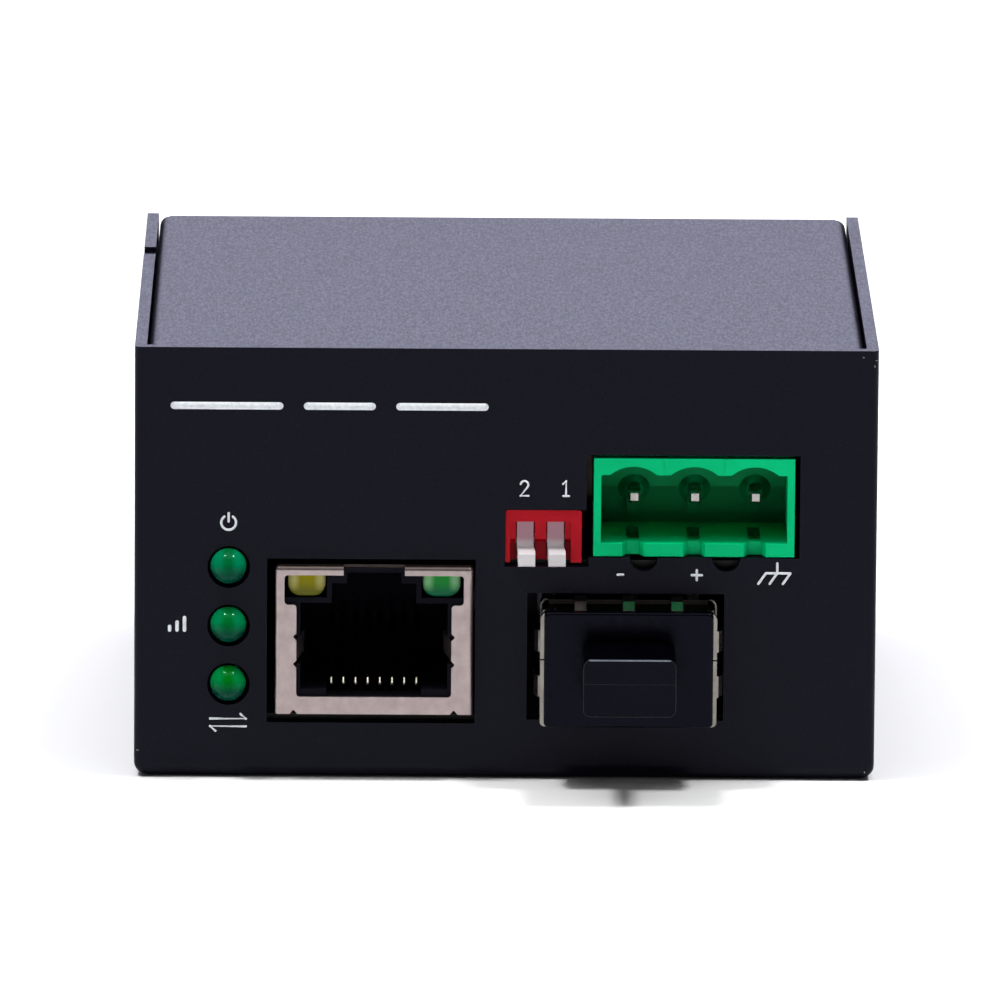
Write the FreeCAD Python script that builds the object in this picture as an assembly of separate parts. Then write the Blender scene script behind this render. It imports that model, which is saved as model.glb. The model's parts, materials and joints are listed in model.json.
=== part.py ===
import FreeCAD, Part
import math
import os

# A compact DIN-rail fibre media converter: a folded steel tray with its front panel, a folded lid
# with the back panel, and two stacked circuit boards that carry every connector, lamp and switch.
# While it is modelled, Y runs from the outer face of the front panel (0) towards the back.
# All sizes are in millimetres.

# --- folded case ---
sheet = 1.0                 # thickness of the folded sheet
bend_inside = 0.3           # inside radius of the folds round the base
corner_outside = 0.6        # welded and ground upright corners at the front
lid_fold_outside = 0.85     # the lid's folds are pressed sharp
lid_fold_inside = 0.1
side_gap = 0.12             # between a lid flange and its side wall
lid_drop = 0.15             # how far the lid's top lies below the tops of the walls
lid_front_gap = 0.12        # between the lid's front edge and the front panel
flange_height = 9.0         # side flanges of the lid
corner_relief = 1.1         # open corner between a side flange and the back panel
wall_corner = 0.4           # rounded rear ends of the walls' top edges
return_width = 3.2          # strip of each side wall that turns in under the case
seam = 0.2                  # open seam between a return strip and the base plate
back_foot_gap = 0.3         # between the back panel's lower edge and the surface below
nick_length = 3.2           # shallow step in the top edge of the left wall
nick_depth = 0.45
nick_from_back = 19.5

# --- where the pieces stand across the case, from the left wall to the right wall ---
lamp_inset = 7.87           # left side to the column of lamps
lamp_jack_gap = 1.58        # lamp holder to jack
jack_cage_gap = 5.8         # jack to transceiver cage
cage_inset = 13.5           # cage to right side
header_inset = 6.88         # terminal header to right side
switch_gap = 0.98           # switch body to terminal header

# --- the two circuit boards ---
board_thickness = 1.6
board_front_gap = 0.5       # behind the front panel
board_length = 57.0
board_rear_gap = 1.5
board_side_gap = 1.5
standoff_height = 2.6
spacer_height = 11.7        # between the two boards
board_hole_inset_x = 4.0
board_hole_inset_y = 4.5    # rear pair of fixing holes, from the rear edge
front_hole_y = 15.0         # front pair of fixing holes, from the front panel
headroom = 9.23             # terminal header to the tops of the walls

# --- M3 fixings ---
screw_radius = 1.5
thread_gap = 0.05           # all round a screw in its threaded hole
clearance_gap = 0.15        # all round a screw in a plain hole
pan_radius = 2.8
pan_height = 1.7
lid_screw_head_radius = 2.75
head_gap = 0.05             # all round a countersunk head
lid_screw_length = 5.0
lid_screw_drop = 5.4        # below the tops of the walls
lid_screw_inset = 9.0       # from the front panel and from the back
standoff_radius = 2.5
clinch_radius = 2.1
spacer_across_flats = 5.5
recess_width = 0.5          # cross recess
recess_reach = 1.35
recess_depth = 0.9
nut_radius = 2.8
nut_thickness = 1.4
clip_hole_spacing = 20.0    # threaded pair in the back panel for a rail clip

# --- network jack ---
jack_width = 16.5
jack_height = 12.6
jack_depth = 21.3
jack_proud = 1.0            # in front of the panel
jack_lift = 0.5             # shield above the board
shield = 0.25               # shield sheet
shield_bend = 0.35
jack_window_left = 0.7      # panel opening round the jack
jack_window_right = 0.2
jack_window_top = 0.45
jack_window_bottom = 0.95
mouth_half = 6.48           # opening in the shield's face
mouth_bottom = 1.47
lens_window_half = 7.49
lens_window_bottom = 9.33
lens_window_top = 11.85
latch_half = 2.56
mouth_corner = 0.3
latch_setback = 1.0         # the latch notch reaches back into the shield's top
tab_centre = 5.42           # inward ground springs
tab_height = 2.34
tab_slit = 0.3
tab_length = 4.2
tab_lean = 0.65             # the springs close in on the plug by this much
foot_notch_x = 6.7
foot_notch = 0.4
foot_notch_round = 0.12
plug_half = 6.15            # plug cavity in the moulded housing
plug_depth = 14.0
plug_floor = 1.49
plug_top = 9.45
key_half = 3.53
key_top = 11.13
key_slot_half = 2.27
key_slot_top = 12.05
ledge_width = 2.2
ledge_height = 0.6
lens_pocket_inner = 3.95    # pockets of the two indicator lenses
lens_pocket_bottom = 9.9
lens_x = 5.62
lens_half = 1.6
lens_corner = 1.1
lens_bottom = 9.94
lens_gap = 0.05
lens_edge = 0.5             # rounded front edge
contact_count = 8
contact_pitch = 1.02
contact_slot = 0.6
contact_radius = 0.17
contact_front = 3.2         # behind the shield's face
contact_rise = 3.9
pin_row_gap = 2.54
peg_radius = 0.8

# --- panel lamps ---
lamp_radius = 1.5
lamp_rim_radius = 1.85
lamp_rim = 0.9
lamp_proud = 1.5
lamp_barrel = 4.65          # tip to rim
lamp_pitch = 5.0
lowest_lamp = 2.9           # above the board
lamp_hole_radius = 1.78
lamp_hole_shift = 0.03      # the holes stand to the right of the lamps
lamp_hole_drop = 0.1        # and below them
holder_width = 4.7
holder_wall = 1.0
holder_front_gap = 0.3
lead_spread = 0.95          # half the gap between a lamp's two leads
lead_radius = 0.25
lead_step = 1.5             # each lamp's leads turn down this much behind the last

# --- terminal header ---
pole_count = 3
pole_pitch = 5.08
header_end = 0.78           # beyond the outer poles' cells
header_height = 8.37
header_depth = 9.2
header_back_wall = 0.7
header_lift = 0.6           # on moulded feet
foot_half = 0.8
header_side = 0.62
header_roof = 1.43
header_floor = 1.13
header_edge = 0.12          # softened outer edges at the mouth
header_window_left = 0.58   # panel opening round the header
header_window_right = 0.43
header_window_top = 0.27
header_window_bottom = 0.1
scallop_width = 3.94
scallop_rise = 0.72
cell_line = 0.06            # moulded lines between cells
pin_level = 4.2
pin_shift = 0.15            # pins stand to the right of the poles' middles
pin_size = 1.0
pin_chamfer = 0.18
pin_recess = 4.3
pin_gap = 0.02              # all round a pin in its housing
pin_leg_gap = 1.8           # behind the header's back
shelf_depth = 1.5           # upper part of the cavity's back
shelf_rise = 0.4            # its lower edge above the pins' level
ring_radius = 1.42          # round recess in that part
collar_base = 1.31          # conical collar round each pin
collar_tip = 0.72
collar_reach = 0.9
heel_height = 1.02          # slot along the foot of the cavity's back
heel_depth = 0.4
rib_width = 0.85
rib_depth = 0.6
groove_width = 1.06
groove_flare = 1.9
groove_depth = 1.1
slot_start = 1.9
slot_end = 6.9
slot_depth = 0.75
tool_notch_radius = 1.17    # half-round notches below the header's opening
tool_notch_spacing = 6.89
tool_notch_shift = -0.73

# --- two-way switch ---
lever_pitch = 2.54
lever_count = 2
switch_width = 6.37
switch_height = 4.45
switch_depth = 9.8
switch_set_back = 0.3       # behind the panel's face
switch_window_gap = 0.1     # above the body
switch_window_left = 0.04
switch_window_right = 0.6
switch_window_bottom = 0.33  # the opening reaches this far below the board's top
face_recess = 0.45          # between the body's side cheeks
face_half = 2.54
face_top = 1.05
undercut_height = 1.88
undercut_depth = 0.85
slot_width = 1.58
slot_top_wall = 0.25
slot_floor_wall = 0.3
slot_run = 4.6
lever_shift = -0.25         # levers from the middle of the body
lever_width = 1.37
peg_inset_left = 0.09       # the finger peg stands a little to the right of its lever
peg_flare_right = 0.15
pivot_back = 1.9            # pivot behind the body's face
pivot_up = 1.7              # pivot above the board
pivot_radius = 0.4
pivot_length = 0.3
pivot_gap = 0.05
drum_radius = 1.3
apron_radius = 2.3
apron_front = 1.45
peg_thickness = 1.12
peg_reach = 2.96            # pivot to the peg's end
peg_drop = 0.61             # the peg's middle below the pivot
peg_root_radius = 0.45      # hollow curve between apron and peg
peg_edge = 0.12
rest_angle = 15.0           # levers point this far below level
switch_pin_row = 7.62
switch_pin_front = 1.9
switch_pin_radius = 0.28

# --- transceiver cage ---
cage_width = 14.4
cage_height = 9.8
cage_length = 48.7
cage_proud = 3.0
cage_sheet = 0.28
cage_top_bend = 0.75
cage_bottom_bend = 0.4
cage_window_gap = 1.03      # panel opening round the cage
cage_window_shift = -0.23
cage_window_top = 0.94
cage_window_bottom = 0.1
cage_seam_level = 5.7       # joint between the cage's two folded halves
cage_seam = 0.12
cage_seam_length = 2.0
cage_vent_radius = 0.75
cage_vent_pitch = 4.2
cage_vent_rows = 3
cage_vent_columns = 5
cage_latch_width = 3.4
cage_latch_length = 3.0
cage_latch_setback = 5.2
cage_pin_count = 4
cage_pin_pitch = 10.0
cage_pin_front = 6.5
cage_pin_width = 0.5
cage_pin_length = 2.6
collar_sheet = 0.15
collar_gap = 0.02
collar_arch = 0.37           # the band's top stands this far off the cage
collar_bend = 0.85
collar_length = 2.0
lip_height = 0.17            # thickened edge at the sides of the cage's mouth
lip_length = 0.8
finger_width = 1.0
finger_height = 1.6
finger_tip = 0.12            # fingers start this far behind the mouth or its lip
finger_rise = 0.8            # above the cage at the panel
side_finger_rise = 0.68
top_finger_pitch = 4.05
side_finger_pitch = 3.73
side_finger_centre = 5.14
socket_width = 11.6
socket_height = 5.6
socket_depth = 8.6
socket_from_back = 1.6
socket_bevel = 1.2
socket_slot_width = 9.6
socket_slot_height = 1.5
socket_slot_depth = 6.0
socket_slot_level = 3.4

# --- dust plug ---
plug_fit = 0.17             # round the plug's body in the cage
plug_insert = 8.5
plug_wall = 1.1
flange_thickness = 1.0
flange_side = 0.15          # each side of the cage shows beside the flange
flange_over = 0.13          # the flange stands over the cage's top
flange_corner = 0.4
flange_seat = 0.05
handle_width = 7.8
handle_height = 4.9
handle_length = 6.4
handle_corner = 0.65
handle_edge = 0.2

# --- pieces on the boards, each sized width, depth, height ---
transformer = (12.7, 7.1, 5.6)
transformer_gap = 4.0       # behind the jack
transformer_lead_count = 8
transformer_lead_pitch = 1.27
chip = (10.0, 10.0, 1.4)
chip_gap = 4.5              # behind the transformer
chip_lead_count = 12
chip_lead_pitch = 0.65
chip_lift = 0.12
chip_gull_reach = 1.0
transformer_gull_reach = 1.3
transformer_gull_width = 0.45
gull_thickness = 0.16
crystal_gap = 1.5           # between the crystal and the chip's leads
crystal_length = 10.2
crystal_width = 4.4
crystal_height = 3.4
crystal_rim = 0.5
inductor = (6.6, 6.6, 3.6)
inductor_gap = 10.0         # behind the front fixing holes
small_can_gap = 22.0        # likewise
small_can_module_gap = 3.0
small_can_pitch = 2.5
small_can_radius = 3.15
small_can_height = 9.0
big_can_radius = 5.0
big_can_height = 12.5
filter_row_gap = 14.5       # big can and choke behind the header's pins
big_can_shift = 4.0         # from the header's middle line
choke_shift = -8.5
filter_lead_pitch = 5.0
can_groove = 0.35
module = (20.0, 10.0, 11.5)
module_shift = -2.0
module_hole_gap = 1.0       # in front of the rear fixing holes
module_pin_inset = 1.2
module_lift = 0.4
choke_radius = 4.4
choke_height = 8.5
choke_flange = 1.1
choke_core = 2.6
choke_flange_overhang = 0.5
disc_radius = 3.9
disc_lead_pitch = 5.08
fuse_thickness = 3.0
fuse_shift = -6.5           # from the header's middle line
fuse_row_gap = 4.0          # behind the header's pins
suppressor_thickness = 4.2
suppressor_shift = 1.9
suppressor_row_gap = 4.4
disc_lift = 1.6
link_count = 6
link_pitch = 2.54
link_pin = 0.64
link_body_height = 2.54
link_inset = 3.4            # pin row to the boards' left edges
link_from_back = 27.0       # rearmost pin to the boards' rear edges
lead_gap = 0.12             # all round a lead in its board hole
lead_below = 1.2            # leads stand this far below a board

# --- sizes that follow ---
bend = bend_inside + sheet
case_width = (lamp_inset + holder_width / 2 + lamp_jack_gap + jack_width + jack_cage_gap
              + cage_width + cage_inset)
case_depth = sheet + board_front_gap + board_length + board_rear_gap + sheet
left_side = -case_width / 2
right_side = case_width / 2
main_bottom = sheet + standoff_height
main_top = main_bottom + board_thickness
power_bottom = main_top + spacer_height
power_top = power_bottom + board_thickness
header_bottom = power_top + header_lift
case_height = header_bottom + header_height + headroom

lamp_x = left_side + lamp_inset
jack_x = lamp_x + holder_width / 2 + lamp_jack_gap + jack_width / 2
cage_x = jack_x + jack_width / 2 + jack_cage_gap + cage_width / 2
header_width = pole_count * pole_pitch + 2 * header_end
header_x = right_side - header_inset - header_width / 2
switch_x = header_x - header_width / 2 - switch_gap - switch_width / 2

board_front = sheet + board_front_gap
board_back = board_front + board_length
board_half = case_width / 2 - sheet - board_side_gap
hole_x = board_half - board_hole_inset_x
rear_hole_y = board_back - board_hole_inset_y
jack_front = -jack_proud
jack_back = jack_front + jack_depth
jack_bottom = main_top + jack_lift
jack_top = jack_bottom + jack_height
cage_front = -cage_proud
cage_back = cage_front + cage_length
cage_top = main_top + cage_height
header_back = header_depth
header_cavity = header_depth - header_back_wall
plain_hole = screw_radius + clearance_gap
thread_radius = screw_radius - 0.25
shank_radius = thread_radius - thread_gap
fixing_holes = [(-hole_x, front_hole_y), (hole_x, front_hole_y),
                (-hole_x, rear_hole_y), (hole_x, rear_hole_y)]


# --- small helpers ---
def vec(x, y, z):
    return FreeCAD.Vector(x, y, z)


def block(x0, x1, y0, y1, z0, z1):
    return Part.makeBox(x1 - x0, y1 - y0, z1 - z0, vec(x0, y0, z0))


def rod(radius, x, y, z0, z1):
    return Part.makeCylinder(radius, z1 - z0, vec(x, y, z0), vec(0, 0, 1))


def bore(radius, x, z, y0, y1):
    return Part.makeCylinder(radius, y1 - y0, vec(x, y0, z), vec(0, 1, 0))


def fuse(shapes):
    joined = shapes[0].multiFuse(shapes[1:]) if len(shapes) > 1 else shapes[0]
    return joined.removeSplitter()


def cut(shape, tools):
    return shape.cut(Part.makeCompound(tools)).removeSplitter() if tools else shape


def in_plane(plane, u, v, w):
    if plane == "xy":
        return vec(u, v, w)
    if plane == "xz":
        return vec(u, w, v)
    return vec(w, u, v)


def prism(points, plane, start, end, radius=0.0):
    # A closed outline with rounded corners in a plane, extruded along the plane's normal.
    count = len(points)
    radii = list(radius) if isinstance(radius, (list, tuple)) else [radius] * count
    edges = []
    joints = []
    for i in range(count):
        here = points[i]
        before = points[i - 1]
        after = points[(i + 1) % count]
        if radii[i] <= 0:
            joints.append((here, here, None))
            continue
        ax, ay = before[0] - here[0], before[1] - here[1]
        bx, by = after[0] - here[0], after[1] - here[1]
        la, lb = math.hypot(ax, ay), math.hypot(bx, by)
        ax, ay, bx, by = ax / la, ay / la, bx / lb, by / lb
        half = math.acos(max(-1.0, min(1.0, ax * bx + ay * by))) / 2
        back = radii[i] / math.tan(half)
        mx, my = ax + bx, ay + by
        lm = math.hypot(mx, my)
        reach = radii[i] / math.sin(half) - radii[i]
        first = (here[0] + ax * back, here[1] + ay * back)
        last = (here[0] + bx * back, here[1] + by * back)
        joints.append((first, last, (here[0] + mx / lm * reach, here[1] + my / lm * reach)))
    for i in range(count):
        first, last, middle = joints[i]
        following = joints[(i + 1) % count][0]
        if middle:
            edges.append(Part.Arc(in_plane(plane, *first, start), in_plane(plane, *middle, start),
                                  in_plane(plane, *last, start)).toShape())
        if math.hypot(following[0] - last[0], following[1] - last[1]) > 1e-6:
            edges.append(Part.LineSegment(in_plane(plane, *last, start),
                                          in_plane(plane, *following, start)).toShape())
    face = Part.Face(Part.Wire(Part.__sortEdges__(edges)))
    return face.extrude(in_plane(plane, 0, 0, end - start))


def rectangle(u0, u1, v0, v1):
    return [(u0, v0), (u1, v0), (u1, v1), (u0, v1)]


def ribbon(points, thickness, x, width):
    # A bent strip of constant thickness, whose centre line runs through points in the YZ plane.
    left = []
    right = []
    for i, here in enumerate(points):
        before = points[max(i - 1, 0)]
        after = points[min(i + 1, len(points) - 1)]
        inward = (here[0] - before[0], here[1] - before[1]) if i else None
        outward = (after[0] - here[0], after[1] - here[1]) if i < len(points) - 1 else None
        directions = [d for d in (inward, outward) if d]
        units = [(d[0] / math.hypot(*d), d[1] / math.hypot(*d)) for d in directions]
        mean = (sum(u[0] for u in units), sum(u[1] for u in units))
        size = math.hypot(*mean)
        normal = (-mean[1] / size, mean[0] / size)
        across = abs(normal[0] * -units[0][1] + normal[1] * units[0][0])
        offset = thickness / 2 / across
        left.append((here[0] + normal[0] * offset, here[1] + normal[1] * offset))
        right.append((here[0] - normal[0] * offset, here[1] - normal[1] * offset))
    return prism(left + right[::-1], "yz", x - width / 2, x + width / 2)


def bent_wire(points, radius, x):
    # A round wire bent along points in the YZ plane, with a ball at every bend.
    places = [vec(x, y, z) for y, z in points]
    runs = [Part.makeCylinder(radius, (b - a).Length, a, b - a) for a, b in zip(places, places[1:])]
    return fuse(runs + [Part.makeSphere(radius, place) for place in places[1:]])


def holes(points, radius, z0, z1):
    return [rod(radius, x, y, z0 - 1, z1 + 1) for x, y in points]


def leads(points, radius, top, board_bottom):
    return [rod(radius, x, y, board_bottom - lead_below, top) for x, y in points]


os.makedirs("parts", exist_ok=True)


def save(name, shape):
    # The part's own origin is on the base, below the middle of the case.
    placed = shape.copy()
    placed.translate(vec(0, -case_depth / 2, 0))
    placed.exportStep("parts/" + name + ".step")


# --- case ---
def countersink(side, y, z, gap):
    # A screw's cone in a side wall, widened by a gap; side is -1 for the left wall.
    wide = lid_screw_head_radius + 2 * gap
    return Part.makeCone(wide, thread_radius, wide - thread_radius, vec(side * (right_side + gap), y, z),
                         vec(-side, 0, 0))


def lid_screw_places():
    level = case_height - lid_screw_drop
    rows = (lid_screw_inset, case_depth - lid_screw_inset)
    return [(side, y, level) for side in (-1, 1) for y in rows]


def panel_openings():
    through = (-1.0, sheet + 1.0)
    jack = block(jack_x - jack_width / 2 - jack_window_left, jack_x + jack_width / 2 + jack_window_right,
                 *through, jack_bottom - jack_window_bottom, jack_top + jack_window_top)
    middle = cage_x + cage_window_shift
    half = cage_width / 2 + cage_window_gap
    cage = block(middle - half, middle + half, *through,
                 main_top - cage_window_bottom, cage_top + cage_window_top)
    header_left = header_x - header_width / 2
    header_right = header_x + header_width / 2
    bottom = header_bottom - header_window_bottom
    header = block(header_left - header_window_left, header_right + header_window_right, *through, bottom,
                   header_bottom + header_height + header_window_top)
    notches = [bore(tool_notch_radius, header_x + tool_notch_shift + way * tool_notch_spacing / 2,
                    bottom, *through) for way in (-1, 1)]
    switch = block(switch_x - switch_width / 2 - switch_window_left,
                   switch_x + switch_width / 2 + switch_window_right, *through,
                   power_top - switch_window_bottom, power_top + switch_height + switch_window_gap)
    lamps = [bore(lamp_hole_radius, lamp_x + lamp_hole_shift, z - lamp_hole_drop, *through)
             for z in lamp_levels()]
    return [jack, cage, header, switch] + notches + lamps


def front_shell():
    outer = block(left_side, right_side, 0, case_depth, 0, case_height)
    inner = block(left_side + sheet, right_side - sheet, sheet, case_depth + sheet,
                  sheet, case_height + sheet)
    tray = rounded_base(outer, 0, bend).cut(rounded_base(inner, sheet, bend_inside))
    tray = tray.makeFillet(corner_outside, [e for e in tray.Edges if is_front_corner(e)])
    tray = tray.makeFillet(wall_corner, [e for e in tray.Edges if is_wall_end(e)])
    tools = panel_openings()
    back_edge = case_depth - sheet - seam
    tools.append(block(left_side + sheet, right_side - sheet, back_edge, case_depth + 1, -1, sheet + 1))
    for side in (-1, 1):
        edge = side * (right_side - return_width)
        tools.append(block(edge - seam / 2, edge + seam / 2, bend + 2 * seam, case_depth, -1, sheet + 0.1))
        tools.append(rod(2.5 * seam, edge, bend + 2 * seam, -1, sheet + 0.1))
    for side, y, z in lid_screw_places():
        tools.append(countersink(side, y, z, head_gap))
    nick_y = case_depth - nick_from_back
    tools.append(block(left_side - 1, left_side + sheet + 0.1, nick_y, nick_y + nick_length,
                       case_height - nick_depth, case_height + 1))
    tools += holes(fixing_holes, clinch_radius, 0, sheet)
    return cut(tray, tools)


def rounded_base(shape, level, radius):
    # Rounds the folds round the base: the front one and the two at the sides.
    chosen = []
    for edge in shape.Edges:
        box = edge.BoundBox
        low = box.ZLength < 0.01 and abs(box.ZMin - level) < 0.01
        at_front = box.YLength < 0.01 and abs(box.YMin - level) < 0.01
        if low and (at_front or box.XLength < 0.01):
            chosen.append(edge)
    return shape.makeFillet(radius, chosen)


def is_front_corner(edge):
    box = edge.BoundBox
    on_side = abs(abs(box.XMin) - right_side) < 0.01 and box.XLength < 0.01
    return on_side and box.ZLength > case_height / 2 and box.YMax < 0.01


def is_wall_end(edge):
    box = edge.BoundBox
    across = abs(box.XLength - sheet) < 0.01 and box.YLength < 0.01
    return across and box.YMin > case_depth - 0.01 and box.ZMin > case_height - 0.01


def lid():
    half = case_width / 2 - sheet - side_gap
    top = case_height - lid_drop
    front = sheet + lid_front_gap
    rear_of_flange = case_depth - corner_relief
    low = top - flange_height
    outside = [(-half, low), (half, low), (half, top), (-half, top)]
    inside = [(-half + sheet, low - 1), (half - sheet, low - 1),
              (half - sheet, top - sheet), (-half + sheet, top - sheet)]
    channel = prism(outside, "xz", front, rear_of_flange, (0, 0, lid_fold_outside, lid_fold_outside))
    channel = channel.cut(prism(inside, "xz", front - 1, rear_of_flange + 1,
                                (0, 0, lid_fold_inside, lid_fold_inside)))
    flat_end = rear_of_flange - lid_fold_outside
    outer = [(flat_end, top - sheet), (flat_end, top), (case_depth, top),
             (case_depth, back_foot_gap), (case_depth - sheet, back_foot_gap),
             (case_depth - sheet, top - sheet)]
    narrow = half - lid_fold_outside
    fold = prism(outer, "yz", -narrow, narrow, (0, 0, lid_fold_outside, 0, 0, lid_fold_inside))
    wide = prism(rectangle(-half, half, back_foot_gap, top - corner_relief), "xz",
                 case_depth - sheet, case_depth, (bend_inside, bend_inside, corner_relief, corner_relief))
    piece = fuse([channel, fold, wide])
    tools = []
    for side, y, z in lid_screw_places():
        tools.append(Part.makeCylinder(thread_radius, case_width / 4, vec(side * right_side, y, z),
                                       vec(-side, 0, 0)))
        tools.append(countersink(side, y, z, head_gap))
    for x, z in clip_holes():
        tools.append(bore(clinch_radius, x, z, case_depth - 2 * sheet, case_depth + 1))
    return cut(piece, tools)


def cross_recess(depth):
    arm = prism(rectangle(-recess_reach, recess_reach, -recess_width / 2, recess_width / 2), "xy", -depth, 1)
    other = arm.copy()
    other.rotate(vec(0, 0, 0), vec(0, 0, 1), 90)
    return arm.fuse(other)


def screw_upright(head_profile, shank_length):
    # A screw that points down, with the underside of its head at the origin.
    outline = [(0, -shank_length), (shank_radius - 0.3, -shank_length),
               (shank_radius, -shank_length + 0.3)] + head_profile
    edges = [vec(r, 0, z) for r, z in outline]
    face = Part.Face(Part.makePolygon(edges + [edges[0]]))
    return face.revolve(vec(0, 0, 0), vec(0, 0, 1), 360)


def pan_screw(shank_length):
    head = [(shank_radius, 0), (pan_radius, 0), (pan_radius, pan_height * 0.45),
            (pan_radius * 0.8, pan_height * 0.88), (pan_radius * 0.45, pan_height), (0, pan_height)]
    recess = cross_recess(recess_depth)
    recess.translate(vec(0, 0, pan_height))
    return screw_upright(head, shank_length).cut(recess)


def lid_screws():
    cone = lid_screw_head_radius - shank_radius
    head = [(shank_radius, -cone), (lid_screw_head_radius, 0), (0, 0)]
    recess = cross_recess(recess_depth)
    screw = screw_upright(head, lid_screw_length).cut(recess)
    placed = []
    for side, y, z in lid_screw_places():
        copy = screw.copy()
        copy.rotate(vec(0, 0, 0), vec(0, 1, 0), side * 90)
        copy.translate(vec(side * right_side, y, z))
        placed.append(copy)
    return Part.makeCompound(placed)


def clip_holes():
    middle = case_height / 2
    return [(0, middle - clip_hole_spacing / 2), (0, middle + clip_hole_spacing / 2)]


def rear_clinch_nuts():
    nuts = []
    for x, z in clip_holes():
        shank = bore(clinch_radius - 0.02, x, z, case_depth - sheet, case_depth - 0.05)
        collar = bore(nut_radius, x, z, case_depth - sheet - nut_thickness, case_depth - sheet)
        nuts.append(fuse([shank, collar]).cut(bore(thread_radius, x, z, case_depth - 9, case_depth + 1)))
    return Part.makeCompound(nuts)


# --- boards and what stacks them ---
def board_standoffs():
    posts = []
    for x, y in fixing_holes:
        shank = rod(clinch_radius - 0.02, x, y, 0.05, sheet)
        post = rod(standoff_radius, x, y, sheet, main_bottom)
        posts.append(fuse([shank, post]).cut(rod(thread_radius, x, y, -1, main_top)))
    return Part.makeCompound(posts)


def main_board_screw():
    screw = pan_screw(board_thickness + standoff_height)
    x, y = fixing_holes[0]
    screw.translate(vec(x, y, main_top))
    return screw


def board_spacers():
    corner = spacer_across_flats / 2 / math.cos(math.pi / 6)
    turns = [math.radians(60 * i) for i in range(6)]
    spacers = []
    for x, y in fixing_holes[1:]:
        outline = [(x + corner * math.cos(t), y + corner * math.sin(t)) for t in turns]
        body = prism(outline, "xy", main_top, power_bottom)
        stud = rod(shank_radius, x, y, main_bottom - standoff_height, main_top)
        socket = rod(thread_radius, x, y, power_bottom - spacer_height / 2, power_bottom + 1)
        spacers.append(fuse([body, stud]).cut(socket))
    return Part.makeCompound(spacers)


def power_board_screws():
    screws = []
    for x, y in fixing_holes[1:]:
        screw = pan_screw(board_thickness + spacer_height / 3)
        screw.translate(vec(x, y, power_top))
        screws.append(screw)
    return Part.makeCompound(screws)


def main_board():
    plate = prism(rectangle(-board_half, board_half, board_front, board_back), "xy",
                  main_bottom, main_top, 1.0)
    tools = holes(fixing_holes, plain_hole, main_bottom, main_top)
    tools += holes(lamp_lead_places(), lead_radius + lead_gap, main_bottom, main_top)
    tools += holes(jack_pin_places(), contact_radius + 2 * lead_gap, main_bottom, main_top)
    tools += holes(jack_peg_places(), peg_radius + lead_gap, main_bottom, main_top)
    tools += holes(shield_tab_places(), cage_pin_width + lead_gap, main_bottom, main_top)
    tools += holes(cage_pin_places(), cage_pin_width / 2 + 2 * lead_gap, main_bottom, main_top)
    tools += holes(link_places(), link_pin * 0.75 + lead_gap, main_bottom, main_top)
    tools += holes(small_can_leads(small_can_main()), lead_radius + lead_gap, main_bottom, main_top)
    return cut(plate, tools)


def power_board():
    inner_x = jack_x + jack_width / 2 + 2 * lead_gap + shield
    inner_y = jack_back + 2 * shield
    outline = [(inner_x, board_front), (board_half, board_front), (board_half, board_back),
               (-board_half, board_back), (-board_half, inner_y), (inner_x, inner_y)]
    plate = prism(outline, "xy", power_bottom, power_top, (0.5, 1.0, 1.0, 1.0, 1.0, 0.5))
    tools = holes(fixing_holes[1:], plain_hole, power_bottom, power_top)
    tools += holes(header_pin_places(), pin_size * 0.72 + lead_gap, power_bottom, power_top)
    tools += holes(switch_pin_places(), switch_pin_radius + lead_gap, power_bottom, power_top)
    tools += holes(link_places(), link_pin * 0.75 + lead_gap, power_bottom, power_top)
    through = (small_can_leads(small_can_power()) + big_can_leads() + module_leads()
               + choke_leads() + disc_leads(fuse_place()) + disc_leads(suppressor_place()))
    tools += holes(through, lead_radius + lead_gap, power_bottom, power_top)
    return cut(plate, tools)


def link_places():
    x = -board_half + link_inset
    return [(x, board_back - link_from_back + link_pitch * i) for i in range(link_count)]


def link_strip():
    places = link_places()
    x, first = places[0]
    last = places[-1][1]
    half = link_pitch / 2
    body = prism(rectangle(x - half, x + half, first - half, last + half), "xy",
                 main_top, main_top + link_body_height, 0.3)
    tools = [rod(link_pin * 0.72, px, py, 0, case_height) for px, py in places]
    return cut(body, tools)


def link_pins():
    half = link_pin / 2
    return Part.makeCompound([block(x - half, x + half, y - half, y + half, main_bottom - lead_below,
                                    power_top + lead_below) for x, y in link_places()])


# --- network jack; x and z are taken from the jack's centre line and the shield's lower edge ---
def jack_pin_places():
    rows = (jack_back - 3.2, jack_back - 3.2 - pin_row_gap)
    offset = (contact_count - 1) / 2
    return [(jack_x + (i - offset) * contact_pitch, rows[i % 2]) for i in range(contact_count)]


def jack_peg_places():
    return [(jack_x + way * mouth_half * 0.89, jack_front + jack_depth * 0.42) for way in (-1, 1)]


def shield_tab_places():
    reach = jack_width / 2 - shield / 2
    return [(jack_x + way * reach, jack_front + jack_depth * 0.57) for way in (-1, 1)]


def local(points):
    return [(jack_x + u, jack_bottom + v) for u, v in points]


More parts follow.
